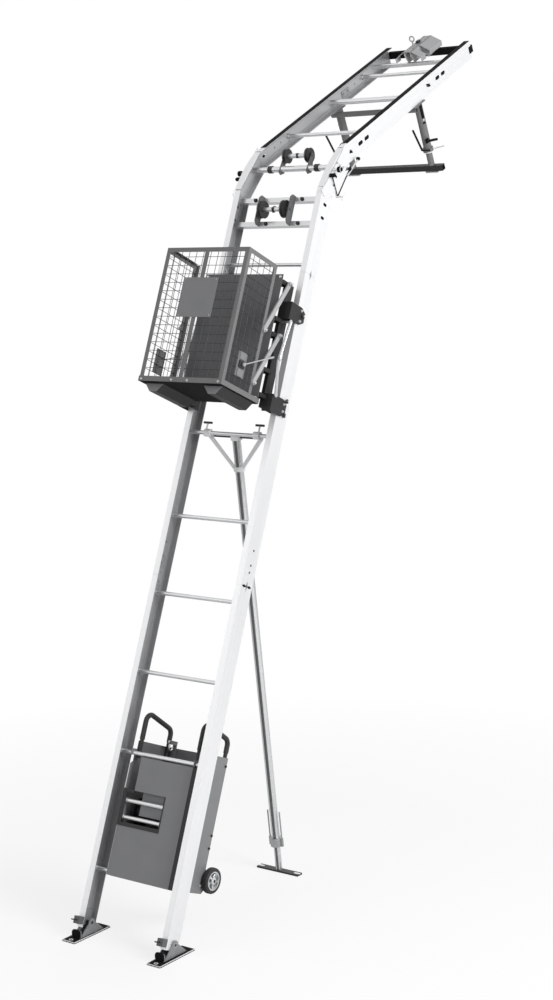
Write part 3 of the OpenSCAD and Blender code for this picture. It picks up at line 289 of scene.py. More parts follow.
def inset(outline, amount):
    """Outline moved inwards: each corner goes along the mitre of its two edges."""
    ahead = np.roll(outline, -1, axis=0) - outline
    ahead /= np.linalg.norm(ahead, axis=1, keepdims=True)
    out = np.stack([ahead[:, 1], -ahead[:, 0]], axis=1)
    before = np.roll(out, 1, axis=0)
    return outline - amount * (out + before) / (1 + np.sum(out * before, axis=1, keepdims=True))


ORDER = {"x": (2, 0, 1), "n": (0, 2, 1), "s": (0, 1, 2)}


def plate(outline, low, high, axis, ease=EASE):
    """Sheet with eased edges: an outline carried along an axis in four rings, the first and last inset."""
    outline = np.asarray(outline, float)
    ahead = np.roll(outline, -1, axis=0)
    if np.sum(outline[:, 0] * ahead[:, 1] - outline[:, 1] * ahead[:, 0]) < 0:
        outline = outline[::-1]
    levels = ((low, ease), (low + ease, 0), (high - ease, 0), (high, ease))
    rings = [np.column_stack([inset(outline, cut), np.full(len(outline), level)]) for level, cut in levels]
    return surface(np.stack(rings)[..., ORDER[axis]])


def block(low, high, ease=EASE):
    """Box with eased edges between two corners."""
    low, high = np.minimum(low, high), np.maximum(low, high)
    outline = [(low[1], low[2]), (high[1], low[2]), (high[1], high[2]), (low[1], high[2])]
    return plate(outline, low[0], high[0], "x", ease)


def box_set(corners):
    """Several boxes as one part, each given by its two corners."""
    return join(*[block(low, high) for low, high in corners])


def strip(start, end, width):
    """Outline of a straight strip: two points moved by half a width to each side of the line between them."""
    start, end = np.asarray(start, float), np.asarray(end, float)
    ahead = (end - start) / np.linalg.norm(end - start)
    side = np.array((-ahead[1], ahead[0])) * width / 2
    return [start - side, end - side, end + side, start + side]


def rounded(centre, width, height, radius, steps=CORNER_STEPS):
    """Outline of a rectangle with round corners: quarter circles about four centres."""
    angle = np.linspace(0, math.pi / 2, steps)
    quarter = radius * np.stack([np.cos(angle), np.sin(angle)], axis=1)
    turn = np.array([[0, 1], [-1, 0]])
    reach = np.array([width / 2 - radius, height / 2 - radius])
    corners = []
    for sign in ((1, 1), (-1, 1), (-1, -1), (1, -1)):
        corners.append(np.asarray(centre) + reach * sign + quarter)
        quarter = quarter @ turn
    return np.concatenate(corners)


def circle(radius, sides):
    """Round profile as (side, up) points."""
    angle = np.arange(sides) * (2 * math.pi / sides)
    return radius * np.stack([np.cos(angle), np.sin(angle)], axis=1)


def sweep(path, profile, square_to, closed=False):
    """Profile carried along a path: path + side a + up b, with side square to the path and a direction."""
    path = np.asarray(path, float)
    ahead = np.roll(path, -1, axis=0) - np.roll(path, 1, axis=0) if closed else np.gradient(path, axis=0)
    ahead /= np.linalg.norm(ahead, axis=1, keepdims=True)
    side = np.cross(ahead, square_to)
    side /= np.linalg.norm(side, axis=1, keepdims=True)
    up = np.cross(side, ahead)
    grid = path[:, None] + profile[None, :, :1] * side[:, None] + profile[None, :, 1:] * up[:, None]
    return surface(grid, wrap_rows=closed, cap=not closed)


KNOB_SHARES = ((0, 0.78), (0.12, 1), (0.8, 1), (1, 0.7))


def knob(place, length, radius):
    """Turned grip along X with eased ends: a lathe whose profile is shares of its length and radius."""
    return lathe(place, (1, 0, 0), np.array(KNOB_SHARES) * (length, radius))


HEAD_SHARES = (0.05, 0.5, 0.62)
HEAD_EASE_SHARE = 0.86
WASHER_SHARES = (0.62, 0.08)


def bolts(places, axis, width):
    """Hexagon heads on round washers, at each place: a six-sided lathe on a turned disc."""
    half = width / 2
    root, shoulder, top = (share * width for share in HEAD_SHARES)
    head = [(root, half), (shoulder, half), (top, half * HEAD_EASE_SHARE)]
    reach, thick = (share * width for share in WASHER_SHARES)
    washer = [(0, reach), (thick, reach)]
    one = join(lathe((0, 0, 0), axis, head, HEXAGON), lathe((0, 0, 0), axis, washer, WASHER_SIDES))
    return repeat(one, places)


def make_piece(name, part, where, body, material):
    """A mesh object of a part, placed by a frame, facing outwards, riding on a body."""
    points, blocks = part
    placed = points @ where[:3, :3].T + where[:3, 3]
    mesh = bpy.data.meshes.new(name)
    mesh.from_pydata(placed.tolist(), [], [face for block in blocks for face in block.tolist()])
    work = bmesh.new()
    work.from_mesh(mesh)
    bmesh.ops.recalc_face_normals(work, faces=work.faces)
    work.to_mesh(mesh)
    work.free()
    mesh.shade_smooth()
    mesh.set_sharp_from_angle(angle=SHARP)
    mesh.materials.append(bpy.data.materials[material])
    piece = bpy.data.objects.new(name, mesh)
    bpy.context.scene.collection.objects.link(piece)
    if body:
        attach(piece, body)
    return piece


# Finishes


def add(tree, kind, inputs=None, **settings):
    """Adds a node with its settings, its inputs given as values or as other nodes' outputs."""
    made = tree.nodes.new(kind)
    for key, value in settings.items():
        setattr(made, key, value)
    for key, value in (inputs or {}).items():
        if isinstance(value, bpy.types.NodeSocket):
            tree.links.new(value, made.inputs[key])
        else:
            made.inputs[key].default_value = value
    return made


def new_finish(name):
    """An empty node material with its output, its shader and the Object coordinates."""
    material = bpy.data.materials.new(name)
    material.use_nodes = True
    tree = material.node_tree
    tree.nodes.clear()
    shader = add(tree, "ShaderNodeBsdfPrincipled")
    add(tree, "ShaderNodeOutputMaterial", {"Surface": shader.outputs["BSDF"]})
    return tree, shader, add(tree, "ShaderNodeTexCoord").outputs["Object"]


def shade(colour, share):
    """A colour lightened or darkened by a share, with alpha."""
    return tuple(min(part * share, 1) for part in colour) + (1,)


METAL_SPREAD = (0.94, 1.03)
PAINT_SPREAD = (0.90, 1.08)
PLASTIC_SPREAD = (0.70, 1.35)

# Sockets of the Mix node when it mixes colours
COLOUR_A = 6
COLOUR_B = 7
COLOUR_OUT = 2


def mottle(tree, coords, grain, colour, spread):
    """Colour that drifts between a darker and a lighter share of itself over a noise of a real grain size."""
    spot = add(tree, "ShaderNodeMapping", {"Vector": coords, "Scale": grain}, vector_type="TEXTURE")
    noise = add(tree, "ShaderNodeTexNoise", {"Vector": spot.outputs["Vector"], "Scale": 1.0, "Detail": 2.0})
    mix = add(tree, "ShaderNodeMix", {
        "Factor": noise.outputs["Fac"], COLOUR_A: shade(colour, spread[0]),
        COLOUR_B: shade(colour, spread[1])}, data_type="RGBA")
    return mix.outputs[COLOUR_OUT], noise.outputs["Fac"]


def roughen(tree, shader, factor, low, high):
    """Roughness that follows a noise between two values."""
    spread = add(tree, "ShaderNodeMapRange", {"Value": factor, "To Min": low, "To Max": high})
    tree.links.new(spread.outputs["Result"], shader.inputs["Roughness"])


def roughcast(tree, shader, coords, grain, strength, depth):
    """Bump of a noise with a real grain size and depth."""
    spot = add(tree, "ShaderNodeMapping", {"Vector": coords, "Scale": (grain,) * 3}, vector_type="TEXTURE")
    noise = add(tree, "ShaderNodeTexNoise", {"Vector": spot.outputs["Vector"], "Scale": 1.0, "Detail": 2.0})
    bump = add(tree, "ShaderNodeBump", {
        "Height": noise.outputs["Fac"], "Strength": strength, "Distance": depth})
    tree.links.new(bump.outputs["Normal"], shader.inputs["Normal"])


# Die lines of the extrusions are about 0.5 mm apart, drawn 12 mm apart and 900 mm long so that they show
DIE_LINE = (0.012, 0.012, 0.9)
# Bounds of the channel inside, where the rails take the painted shade colour.
INSIDE_X = 0.3362
INSIDE_N = (0.0012, 0.1188)
EXTRUDED_METAL = 0.55
EXTRUDED_ROUGH = (0.34, 0.42)


def extruded_aluminium(name, where, lean, colour, inside):
    """Anodised extrusion: pale, satin, with faint die lines along the rail, and painted shade inside the
    channel.
    """
    tree, shader, coords = new_finish(name)
    spot = add(tree, "ShaderNodeMapping", {
        "Vector": coords, "Location": tuple(where[:3, 3]), "Rotation": (-math.radians(lean), 0, 0)},
        vector_type="TEXTURE")
    local = spot.outputs["Vector"]
    outer, factor = mottle(tree, local, DIE_LINE, colour, METAL_SPREAD)
    inner, spare = mottle(tree, local, DIE_LINE, inside, PAINT_SPREAD)
    axes = add(tree, "ShaderNodeSeparateXYZ", {"Vector": local})
    width = add(tree, "ShaderNodeMath", {0: axes.outputs["X"]}, operation="ABSOLUTE")
    tests = [(width.outputs[0], "LESS_THAN", INSIDE_X), (axes.outputs["Y"], "GREATER_THAN", INSIDE_N[0]),
             (axes.outputs["Y"], "LESS_THAN", INSIDE_N[1])]
    within = None
    for value, test, limit in tests:
        found = add(tree, "ShaderNodeMath", {0: value, 1: limit}, operation=test).outputs[0]
        if within is not None:
            found = add(tree, "ShaderNodeMath", {0: within, 1: found}, operation="MULTIPLY").outputs[0]
        within = found
    # Painted shade: inside the channel the rail takes the darker inside colour.
    mix = add(tree, "ShaderNodeMix", {"Factor": within, COLOUR_A: outer, COLOUR_B: inner}, data_type="RGBA")
    tree.links.new(mix.outputs[COLOUR_OUT], shader.inputs["Base Color"])
    shader.inputs["Metallic"].default_value = EXTRUDED_METAL
    roughen(tree, shader, factor, *EXTRUDED_ROUGH)


# Draw marks of a tube are finer than 0.2 mm, drawn 3 mm wide round the tube so that they show
DRAW_MARK = (0.25, 0.003, 0.003)
DRAWN_METAL = 0.8
DRAWN_ROUGH = (0.22, 0.36)


def drawn_aluminium(name, colour, grain):
    """Drawn tube: bright and smooth, with fine marks along its length and a soft reflection."""
    tree, shader, coords = new_finish(name)
    colour, factor = mottle(tree, coords, grain, colour, METAL_SPREAD)
    tree.links.new(colour, shader.inputs["Base Color"])
    shader.inputs["Metallic"].default_value = DRAWN_METAL
    roughen(tree, shader, factor, *DRAWN_ROUGH)


# Spangle of zinc plate, about 8 mm
SPANGLE = (0.008, 0.008, 0.008)
ZINC_METAL = 0.85
ZINC_DRIFT = 0.14
ZINCS = (
    ("Bright zinc plate", "D4D6D7", 0.24), ("Dull zinc plate", "A9ABAD", 0.38),
    ("Welded wire", "454647", 0.38), ("Galvanised drum", "4A4B4C", 0.40))


def zinc_plate(name, colour, rough):
    """Zinc-plated steel: grey and bright, with a fine spangle that breaks up the reflection."""
    tree, shader, coords = new_finish(name)
    colour, factor = mottle(tree, coords, SPANGLE, colour, PAINT_SPREAD)
    tree.links.new(colour, shader.inputs["Base Color"])
    shader.inputs["Metallic"].default_value = ZINC_METAL
    roughen(tree, shader, factor, rough, rough + ZINC_DRIFT)


# Orange peel of powder coat is about 2 mm, drawn at 4 mm so that it shows, over cloudy drift of about 150 mm
PEEL = 0.004
PEEL_DEPTH = 0.0004
PEEL_STRENGTH = 0.12
CLOUD = (0.15, 0.15, 0.15)
PAINT_IOR = 1.5
PAINT_SHEEN = 0.5
PAINT_DRIFT = 0.12
PAINTS = (
    ("Pale powder coat", "pale", 0.42), ("Light powder coat", "link", 0.44),
    ("Grey powder coat", "cage", 0.45), ("Winch powder coat", "cover", 0.45),
    ("Dark powder coat", "panel", 0.48), ("Black powder coat", "black", 0.50))
MATT_SHARE = 0.6
MATT_ROUGH = 0.75
MATT_SHEEN = 0.1


def powder_coat(name, colour, rough, sheen=PAINT_SHEEN):
    """Powder-coated steel: even grey with orange peel, a soft or dull sheen and a little cloudy drift."""
    tree, shader, coords = new_finish(name)
    colour, factor = mottle(tree, coords, CLOUD, colour, PAINT_SPREAD)
    tree.links.new(colour, shader.inputs["Base Color"])
    shader.inputs["IOR"].default_value = PAINT_IOR
    shader.inputs["Specular IOR Level"].default_value = sheen
    roughen(tree, shader, factor, rough, rough + PAINT_DRIFT)
    roughcast(tree, shader, coords, PEEL, PEEL_STRENGTH, PEEL_DEPTH)


# Spark texture of moulds, about 0.8 mm, drawn at 2 mm
SPARK = 0.002
SPARK_DEPTH = 0.0003
SPARK_STRENGTH = 0.25
SCUFF = (0.03, 0.03, 0.03)
NYLON_IOR = 1.52
NYLON_DRIFT = 0.15
NYLONS = (("Black nylon", "1A1A1B", 0.40), ("Black rubber", "242425", 0.62))


def moulded_nylon(name, colour, rough):
    """Black moulded nylon or rubber: fine spark texture, dull sheen, lighter where it is scuffed."""
    tree, shader, coords = new_finish(name)
    colour, factor = mottle(tree, coords, SCUFF, colour, PLASTIC_SPREAD)
    tree.links.new(colour, shader.inputs["Base Color"])
    shader.inputs["IOR"].default_value = NYLON_IOR
    roughen(tree, shader, factor, rough, rough + NYLON_DRIFT)
    roughcast(tree, shader, coords, SPARK, SPARK_STRENGTH, SPARK_DEPTH)


# Sand grain of castings, about 1.5 mm, drawn at 3 mm
SAND = 0.003
SAND_DEPTH = 0.0006
SAND_STRENGTH = 0.35
CAST_METAL = 0.35
CAST_ROUGH = (0.45, 0.62)


def cast_metal(name, colour):
    """Sand-cast and blasted metal: matt grey with a coarse grain."""
    tree, shader, coords = new_finish(name)
    colour, factor = mottle(tree, coords, SCUFF, colour, PAINT_SPREAD)
    tree.links.new(colour, shader.inputs["Base Color"])
    shader.inputs["Metallic"].default_value = CAST_METAL
    roughen(tree, shader, factor, *CAST_ROUGH)
    roughcast(tree, shader, coords, SAND, SAND_STRENGTH, SAND_DEPTH)


NODE_FINISHES = {
    "Extruded aluminium, ladder": (
        "base_rail_left", "base_rail_right", "upper_rail_left", "upper_rail_right", "stub_rails"),
    "Extruded aluminium, knee": ("knee_rails", "knee_plates"),
    "Extruded aluminium, top": ("top_rails", "head_rails"),
    "Drawn aluminium tube": (
        "ladder_rungs", "stub_crossbars", "top_rungs", "fairlead_upper", "fairlead_lower"),
    "Drawn aluminium prop": ("prop_tube", "prop_leg"),
    "Bright zinc plate": ("snap_hook", "catch_levers", "latch_left", "latch_right", "wheel_axle"),
    "Dull zinc plate": ("prop_clamp", "rail_splices", "top_splices"),
    "Pale powder coat": ("prop_yoke",),
    "Light powder coat": ("upper_links", "lower_links", "head_hood"),
    "Grey powder coat": ("cage_frame", "support_sleeves", "support_legs"),
    "Winch powder coat": ("winch_cover", "winch_sides", "sign_plate"),
    "Dark powder coat": (
        "back_panel", "winch_shell", "gear_motor", "bottom_stops", "block_plates", "knee_block"),
    "Black powder coat": (
        # cage_tray is black as painted shade of the tray's underside; the other parts here are black parts.
        "carriage_frame", "cage_tray", "roller_brackets", "support_bar", "prop_foot", "foot_pins"),
    "Matt black coat": ("top_trim",),
    "Cast aluminium": ("foot_left", "foot_right"),
    "Galvanised drum": ("winch_drum",),
    "Black nylon": (
        "block_sheaves", "knee_sheaves", "head_sheave", "front_rollers_upper", "front_rollers_lower",
        "counter_rollers_upper", "counter_rollers_lower"),
    "Black rubber": ("winch_handles", "winch_wheels"),
    "Welded wire": ("cage_mesh",),
}


class HOIST_OT_finishes(bpy.types.Operator):
    """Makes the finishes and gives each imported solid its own"""

    bl_idname = "hoist.finishes"
    bl_label = "Finishes"

    def execute(self, context):
        paint = context.scene.hoist_colours
        rail = tuple(paint.rail)
        inside = tuple(paint.rail_inside_shade)
        top_inside_shade = tuple(paint.top_inside_shade)
        extruded_aluminium("Extruded aluminium, ladder", LADDER, LEAN, rail, inside)
        extruded_aluminium("Extruded aluminium, knee", KNEE, LEAN + HALF_BEND, rail, top_inside_shade)
        extruded_aluminium("Extruded aluminium, top", TOP, LEAN + 2 * HALF_BEND, rail, top_inside_shade)
        drawn_aluminium("Drawn aluminium tube", srgb("DDDEDF"), DRAW_MARK)
        drawn_aluminium("Drawn aluminium prop", srgb("D6D8D9"), DRAW_MARK[::-1])
        for name, code, rough in ZINCS:
            zinc_plate(name, srgb(code), rough)
        for name, key, rough in PAINTS:
            powder_coat(name, tuple(getattr(paint, key)), rough)
        powder_coat("Matt black coat", shade(paint.black, MATT_SHARE)[:3], MATT_ROUGH, MATT_SHEEN)
        for name, code, rough in NYLONS:
            moulded_nylon(name, srgb(code), rough)
        cast_metal("Cast aluminium", srgb("8C8E90"))
        for finish, nodes in NODE_FINISHES.items():
            for node in nodes:
                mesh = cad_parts[node].data
                mesh.materials.clear()
                mesh.materials.append(bpy.data.materials[finish])
        return {"FINISHED"}


# Cage

CAGE_LOW = 3.3579
LIP_TOP = 3.3779
TRAY_LOW = 3.3459
NET_LOW = 3.3799
NET_HIGH = 4.2007
NET_FRONT = -0.5649
NET_SIDE = 0.3043
NET_HALF = 0.3001
NET_FROM = -0.5607
NET_TO = -0.2633
NET_COLUMNS = 12
NET_ROWS = 16
NET_SIDE_COLUMNS = 6


class HOIST_OT_cage_wires(bpy.types.Operator):
    """Welded wire nets of the cage: straight round wires, uprights outside and cross wires inside"""

    bl_idname = "hoist.cage_wires"
    bl_label = "Cage wires"

    def execute(self, context):
        size = context.scene.hoist_sizes.wire
        thick = size / 2
        rows = np.linspace(NET_LOW, NET_HIGH, NET_ROWS)
        columns = np.linspace(-NET_HALF, NET_HALF, NET_COLUMNS)
        depths = np.linspace(NET_FROM, NET_TO, NET_SIDE_COLUMNS)
        behind = NET_FRONT + size - EASE
        front = join(
            repeat(rod((0, NET_FRONT, NET_LOW), (0, NET_FRONT, NET_HIGH), thick, WIRE_SIDES),
                   along(0, columns)),
            repeat(rod((-NET_HALF, behind, 0), (NET_HALF, behind, 0), thick, WIRE_SIDES), along(2, rows)))
        within = NET_SIDE - size + EASE
        side = join(
            repeat(rod((NET_SIDE, 0, NET_LOW), (NET_SIDE, 0, NET_HIGH), thick, WIRE_SIDES), along(1, depths)),
            repeat(rod((within, NET_FROM, 0), (within, NET_TO, 0), thick, WIRE_SIDES), along(2, rows)))
        nets = make_piece("cage_wires", join(front, both_sides(side)), LADDER, "cage", "Welded wire")
        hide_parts("cage_mesh")
        return {"FINISHED"}


LINK_OUT = 0.325
CAGE_PIVOT_N = -0.2721
CAGE_PIVOTS = (3.4489, 3.7849)
FRAME_PIVOT_N = -0.104
FRAME_PIVOTS = (3.803, 4.139)
LATCH_X = 0.3325
LATCH_N = -0.4181
LATCH_S = 3.5159
LATCH_END = (-0.1386, 3.6546)
LATCH_PAD_X = 0.3123
LATCH_PAD = (0.058, 0.046)
LATCH_PAD_SPACE = 0.052
PAD_T = 0.004
GRIP_R = 0.007
GRIP_SHARE = 0.12
SIGN_FRONT = -0.5734
SIGN_HALF = 0.115
SIGN_PLACES = (3.770, 3.998)
PANEL_FRONT = -0.162
PANEL_HALF = 0.278
PANEL_PLACES = (3.388, 4.166)
LIP_FRONT = -0.5745
LIP_X = (-0.29, -0.06, 0.06, 0.29)
SKID_X = 0.222
SKID_TOP = 0.070
SKID_LOW = 0.027
SKID_H = 0.050
SKID_FRONT = (-0.5263, -0.5239)
# Painted shade: a thin black sheet under the tray, for the shade beneath it.
TRAY_SHADE_SHEET = ((-0.3085, -0.5695, 3.3443), (0.3085, -0.1690, 3.3457))
LIP_SHEET_FRONT = ((-0.3130, -0.5745, TRAY_LOW), (0.3130, -0.5731, LIP_TOP))
LIP_SHEET_SIDE = ((0.3125, -0.5745, TRAY_LOW), (0.3139, -0.1690, LIP_TOP))


class HOIST_OT_cage_fittings(bpy.types.Operator):
    """Pin heads, latch pads and grips, rivets, skid ends, a black sheet of painted shade under the tray, and
    lip sheets of the cage
    """

    bl_idname = "hoist.cage_fittings"
    bl_label = "Cage fittings"

    def execute(self, context):
        size = context.scene.hoist_sizes
        heads = bolts([(LINK_OUT, CAGE_PIVOT_N, s) for s in CAGE_PIVOTS], (1, 0, 0), size.bolt)
        make_piece("cage_pin_heads", both_sides(heads), LADDER, "cage", "Bright zinc plate")
        heads = bolts([(LINK_OUT, FRAME_PIVOT_N, s) for s in FRAME_PIVOTS], (1, 0, 0), size.bolt)
        make_piece("frame_pin_heads", both_sides(heads), LADDER, "carriage", "Bright zinc plate")
        pads = [plate(rounded((LATCH_N, LATCH_S + way * LATCH_PAD_SPACE), *LATCH_PAD, GRIP_R),
                      LATCH_PAD_X, LATCH_PAD_X + PAD_T, "x") for way in (-1, 1)]
        make_piece("latch_pads", both_sides(join(*pads)), LADDER, "cage", "Winch powder coat")
        clamp = plate(rounded((LATCH_N, LATCH_S), *LATCH_PAD, GRIP_R),
                      LATCH_PAD_X, LATCH_PAD_X + 2 * PAD_T, "x")
        make_piece("latch_clamps", both_sides(clamp), LADDER, "cage", "Black powder coat")
        pivot = np.array((LATCH_X, LATCH_N, LATCH_S))
        end = np.array((LATCH_X,) + LATCH_END)
        grip = rod(end + (pivot - end) * GRIP_SHARE, end, GRIP_R)
        make_piece("latch_grip_right", grip, LADDER, "latch_right", "Bright zinc plate")
        make_piece("latch_grip_left", mirror(grip), LADDER, "latch_left", "Bright zinc plate")
        corners = [(x, SIGN_FRONT, s) for x in (-SIGN_HALF, SIGN_HALF) for s in SIGN_PLACES]
        rivets = join(
            bolts(corners, (0, -1, 0), size.screw / 2),
            bolts([(x, LIP_FRONT, CAGE_LOW) for x in LIP_X], (0, -1, 0), size.screw))
        make_piece("cage_rivets", rivets, LADDER, "cage", "Dull zinc plate")
        corners = [(x, PANEL_FRONT, s) for x in (-PANEL_HALF, PANEL_HALF) for s in PANEL_PLACES]
        heads = bolts(corners, (0, -1, 0), size.screw)
        make_piece("panel_bolts", heads, LADDER, "carriage", "Bright zinc plate")
        base = TRAY_LOW - SKID_H
        outline = [(SKID_X - SKID_TOP, TRAY_LOW), (SKID_X + SKID_TOP, TRAY_LOW), (SKID_X + SKID_LOW, base),
                   (SKID_X - SKID_LOW, base)]
        skid = plate(outline, *SKID_FRONT, "n")
        make_piece("skid_ends", both_sides(skid), LADDER, "cage", "Winch powder coat")
        # Painted shade: the black sheet under the tray stands in for the shade beneath it.
        make_piece("tray_sheet", block(*TRAY_SHADE_SHEET), LADDER, "cage", "Matt black coat")
        lips = join(block(*LIP_SHEET_FRONT), both_sides(block(*LIP_SHEET_SIDE)))
        make_piece("lip_sheets", lips, LADDER, "cage", "Grey powder coat")
        return {"FINISHED"}


# Carriage

CHEEK_FACE = 0.350
CHEEK_BOLTS = ((0.030, 3.945), (0.030, 4.012), (0.045, 3.365), (0.045, 3.410))
GUIDE_ROLLERS = ((0.049, 3.984), (0.062, 3.435))
GUIDE_R = 0.014
GUIDE_W = 0.013
GUIDE_PIN = (0.005, 0.018)
CARRIAGE_CLIP = ((0.344, 0.062, 3.334), (0.356, 0.080, 3.360))
LEVER_ROD = ((0.363, -0.070, 3.905), (0.363, -0.112, 3.655))
LEVER_ROD_R = 0.004
LEVER_BALL_R = 0.012


class HOIST_OT_carriage_fittings(bpy.types.Operator):
    """Cheek bolts, small guide rollers, clips and lever grips of the carriage"""

    bl_idname = "hoist.carriage_fittings"
    bl_label = "Carriage fittings"

    def execute(self, context):
        size = context.scene.hoist_sizes
        heads = bolts([(CHEEK_FACE, n, s) for n, s in CHEEK_BOLTS], (1, 0, 0), size.screw)
        pins = [rod((CHEEK_FACE, n, s), (CHEEK_FACE + GUIDE_PIN[1], n, s), GUIDE_PIN[0])
                for n, s in GUIDE_ROLLERS]
        bright = both_sides(join(heads, *pins))
        make_piece("cheek_bolts", bright, LADDER, "carriage", "Bright zinc plate")
        rollers = [knob((CHEEK_FACE, n, s), GUIDE_W, GUIDE_R) for n, s in GUIDE_ROLLERS]
        black = both_sides(join(block(*CARRIAGE_CLIP), *rollers))
        make_piece("guide_rollers", black, LADDER, "carriage", "Black nylon")
        grip = join(rod(*LEVER_ROD, LEVER_ROD_R), ball(LEVER_ROD[1], LEVER_BALL_R))
        make_piece("lever_grips", both_sides(grip), LADDER, "catch_levers", "Bright zinc plate")
        return {"FINISHED"}


# Rails

COLLAR_R = 0.0185
RIB_W = 0.004
RIB_T = 0.002
RIB_PLACES = (0.026, 0.094)
LADDER_RUNS = ((0.20, 2.255), (2.265, 4.255), (4.265, 4.745))
TOP_RUNS = ((0.08, 1.185), (1.195, 1.865))
END_PLUG_N = 0.061
END_PLUG = (0.050, 0.033)
END_PLUG_S = 1.8535
END_PLUG_ROUND = 0.006
PLUG_T = 0.0015
FOOT_SLEEVE = ((0.329, 0.008, 0.085), (0.3345, 0.112, 0.185))
LADDER_MARK = (0.0265, 0.0), (0.0, 0.0105)
LADDER_MARKS = (0.033, 0.087)
TOP_MARK = (0.0197, 0.0357), (0.0104, -0.0092)
LADDER_JOINTS = (2.260,)
TOP_JOINTS = (0.065, 1.190)
TOP_PLUG = (0.026, 0.058)
LADDER_PLUGS = (2.347, 2.391, 2.483)
LADDER_PLUG = (0.015, 0.015)
STUB_PLUGS = (4.641, 4.729)
STUB_PLUG = (0.038, 0.020)
TOP_PLUGS = (0.205, 0.290, 1.330, 1.415)
PLUG_FACE = (0.3385, 0.3403)


def rung_collars(places, depth, width):
    """Swaged collars at both ends of rungs: short turned rings against the webs."""
    profile = [(0, COLLAR_R), (width / 2, COLLAR_R), (width, RUNG_R + EASE)]
    one = lathe((WEB_IN, depth, 0), (-1, 0, 0), profile)
    return both_sides(repeat(one, along(2, places)))


def diamonds(places, longer, shorter):
    """Joint marks in the webs: a four-cornered outline at each place, carried through the outer face."""
    corners = np.array([longer, shorter, np.negative(longer), np.negative(shorter)])
    return join(*[plate(corners + place, *PLUG_FACE, "x") for place in places])


def web_plugs(places, width, height):
    """Rounded plugs in the webs' outer faces."""
    ease = min(width, height) / 2 - EASE
    return join(*[plate(rounded((RUNG_N, s), width, height, ease), *PLUG_FACE, "x") for s in places])


def web_ribs(runs):
    """Low ribs along the inside of the webs, one above the other."""
    ribs = [block((WEB_IN - RIB_T, n - RIB_W / 2, low), (WEB_IN, n + RIB_W / 2, high))
            for low, high in runs for n in RIB_PLACES]
    return both_sides(join(*ribs))


class HOIST_OT_rail_details(bpy.types.Operator):
    """Rung collars, ribs inside the rails, foot sleeves, end plugs, joint marks and web plugs"""

    bl_idname = "hoist.rail_details"
    bl_label = "Rail details"

    def execute(self, context):
        width = context.scene.hoist_sizes.collar
        collars = rung_collars(RUNG_PLACES, RUNG_N, width)
        make_piece("rung_collars", collars, LADDER, "ladder", "Dull zinc plate")
        collars = rung_collars(TOP_RUNG_PLACES, TOP_RUNG_N, width)
        make_piece("top_rung_collars", collars, TOP, "top", "Dull zinc plate")
        make_piece("ladder_ribs", web_ribs(LADDER_RUNS), LADDER, "ladder", "Dull zinc plate")
        make_piece("top_ribs", web_ribs(TOP_RUNS), TOP, "top", "Dull zinc plate")
        sleeves = both_sides(block(*FOOT_SLEEVE))
        make_piece("foot_sleeves", sleeves, LADDER, "ladder", "Cast aluminium")
        outline = rounded((END_PLUG_N, END_PLUG_S), *END_PLUG, END_PLUG_ROUND)
        plug = plate(outline, RAIL_OUT, RAIL_OUT + PLUG_T, "x")
        make_piece("rail_end_plugs", both_sides(plug), TOP, "top", "Matt black coat")
        marks = diamonds([(n, s) for n in LADDER_MARKS for s in LADDER_JOINTS], *LADDER_MARK)
        plugs = join(marks, web_plugs(LADDER_PLUGS, *LADDER_PLUG), web_plugs(STUB_PLUGS, *STUB_PLUG))
        make_piece("ladder_plugs", both_sides(plugs), LADDER, "ladder", "Matt black coat")
        marks = diamonds([(RUNG_N, t) for t in TOP_JOINTS], *TOP_MARK)
        plugs = join(marks, web_plugs(TOP_PLUGS, *TOP_PLUG))
        make_piece("top_plugs", both_sides(plugs), TOP, "top", "Matt black coat")
        return {"FINISHED"}


# Feet

FOOT_MID = 0.325
FOOT_HALF = 0.0475
FOOT_T = 0.010
EDGE_T = 0.002
EDGE_LOW = 0.0055
EDGE_HIGH = 0.0105
TOOTH_T = 0.003
CHEEK_IN = 0.294
CHEEK_OUT = 0.344
CHEEK_T = 0.007
PAD_FRONT = -0.115
PAD_BACK = -0.105
PAD_HIGH = 0.062
PAD_ROUND = 0.02
PAD_SHIFT = 0.00625
TOP_SHEET_IN = 0.004
TOP_SHEET_T = 0.0006
ANCHOR_Y = -0.150
ANCHOR_RING = (0.0075, 0.013)
CHEEK_RIM = (0.017, 0.008)
STOP_FRONT = -0.045
STOP_S = 0.115
WING_R = 0.004
WING_LEN = 0.030


def saw_edge(start, end, low, high, pitch):
    """Outline of a toothed strip: a straight top and a zigzag lower edge of even teeth."""
    count = max(int((end - start) / pitch), 1)
    places = np.linspace(start, end, 2 * count + 1)
    depth = np.where(np.arange(2 * count + 1) % 2, low, (low + high) / 2)
    return np.concatenate([np.stack([places, depth], axis=1), [(end, high), (start, high)]])


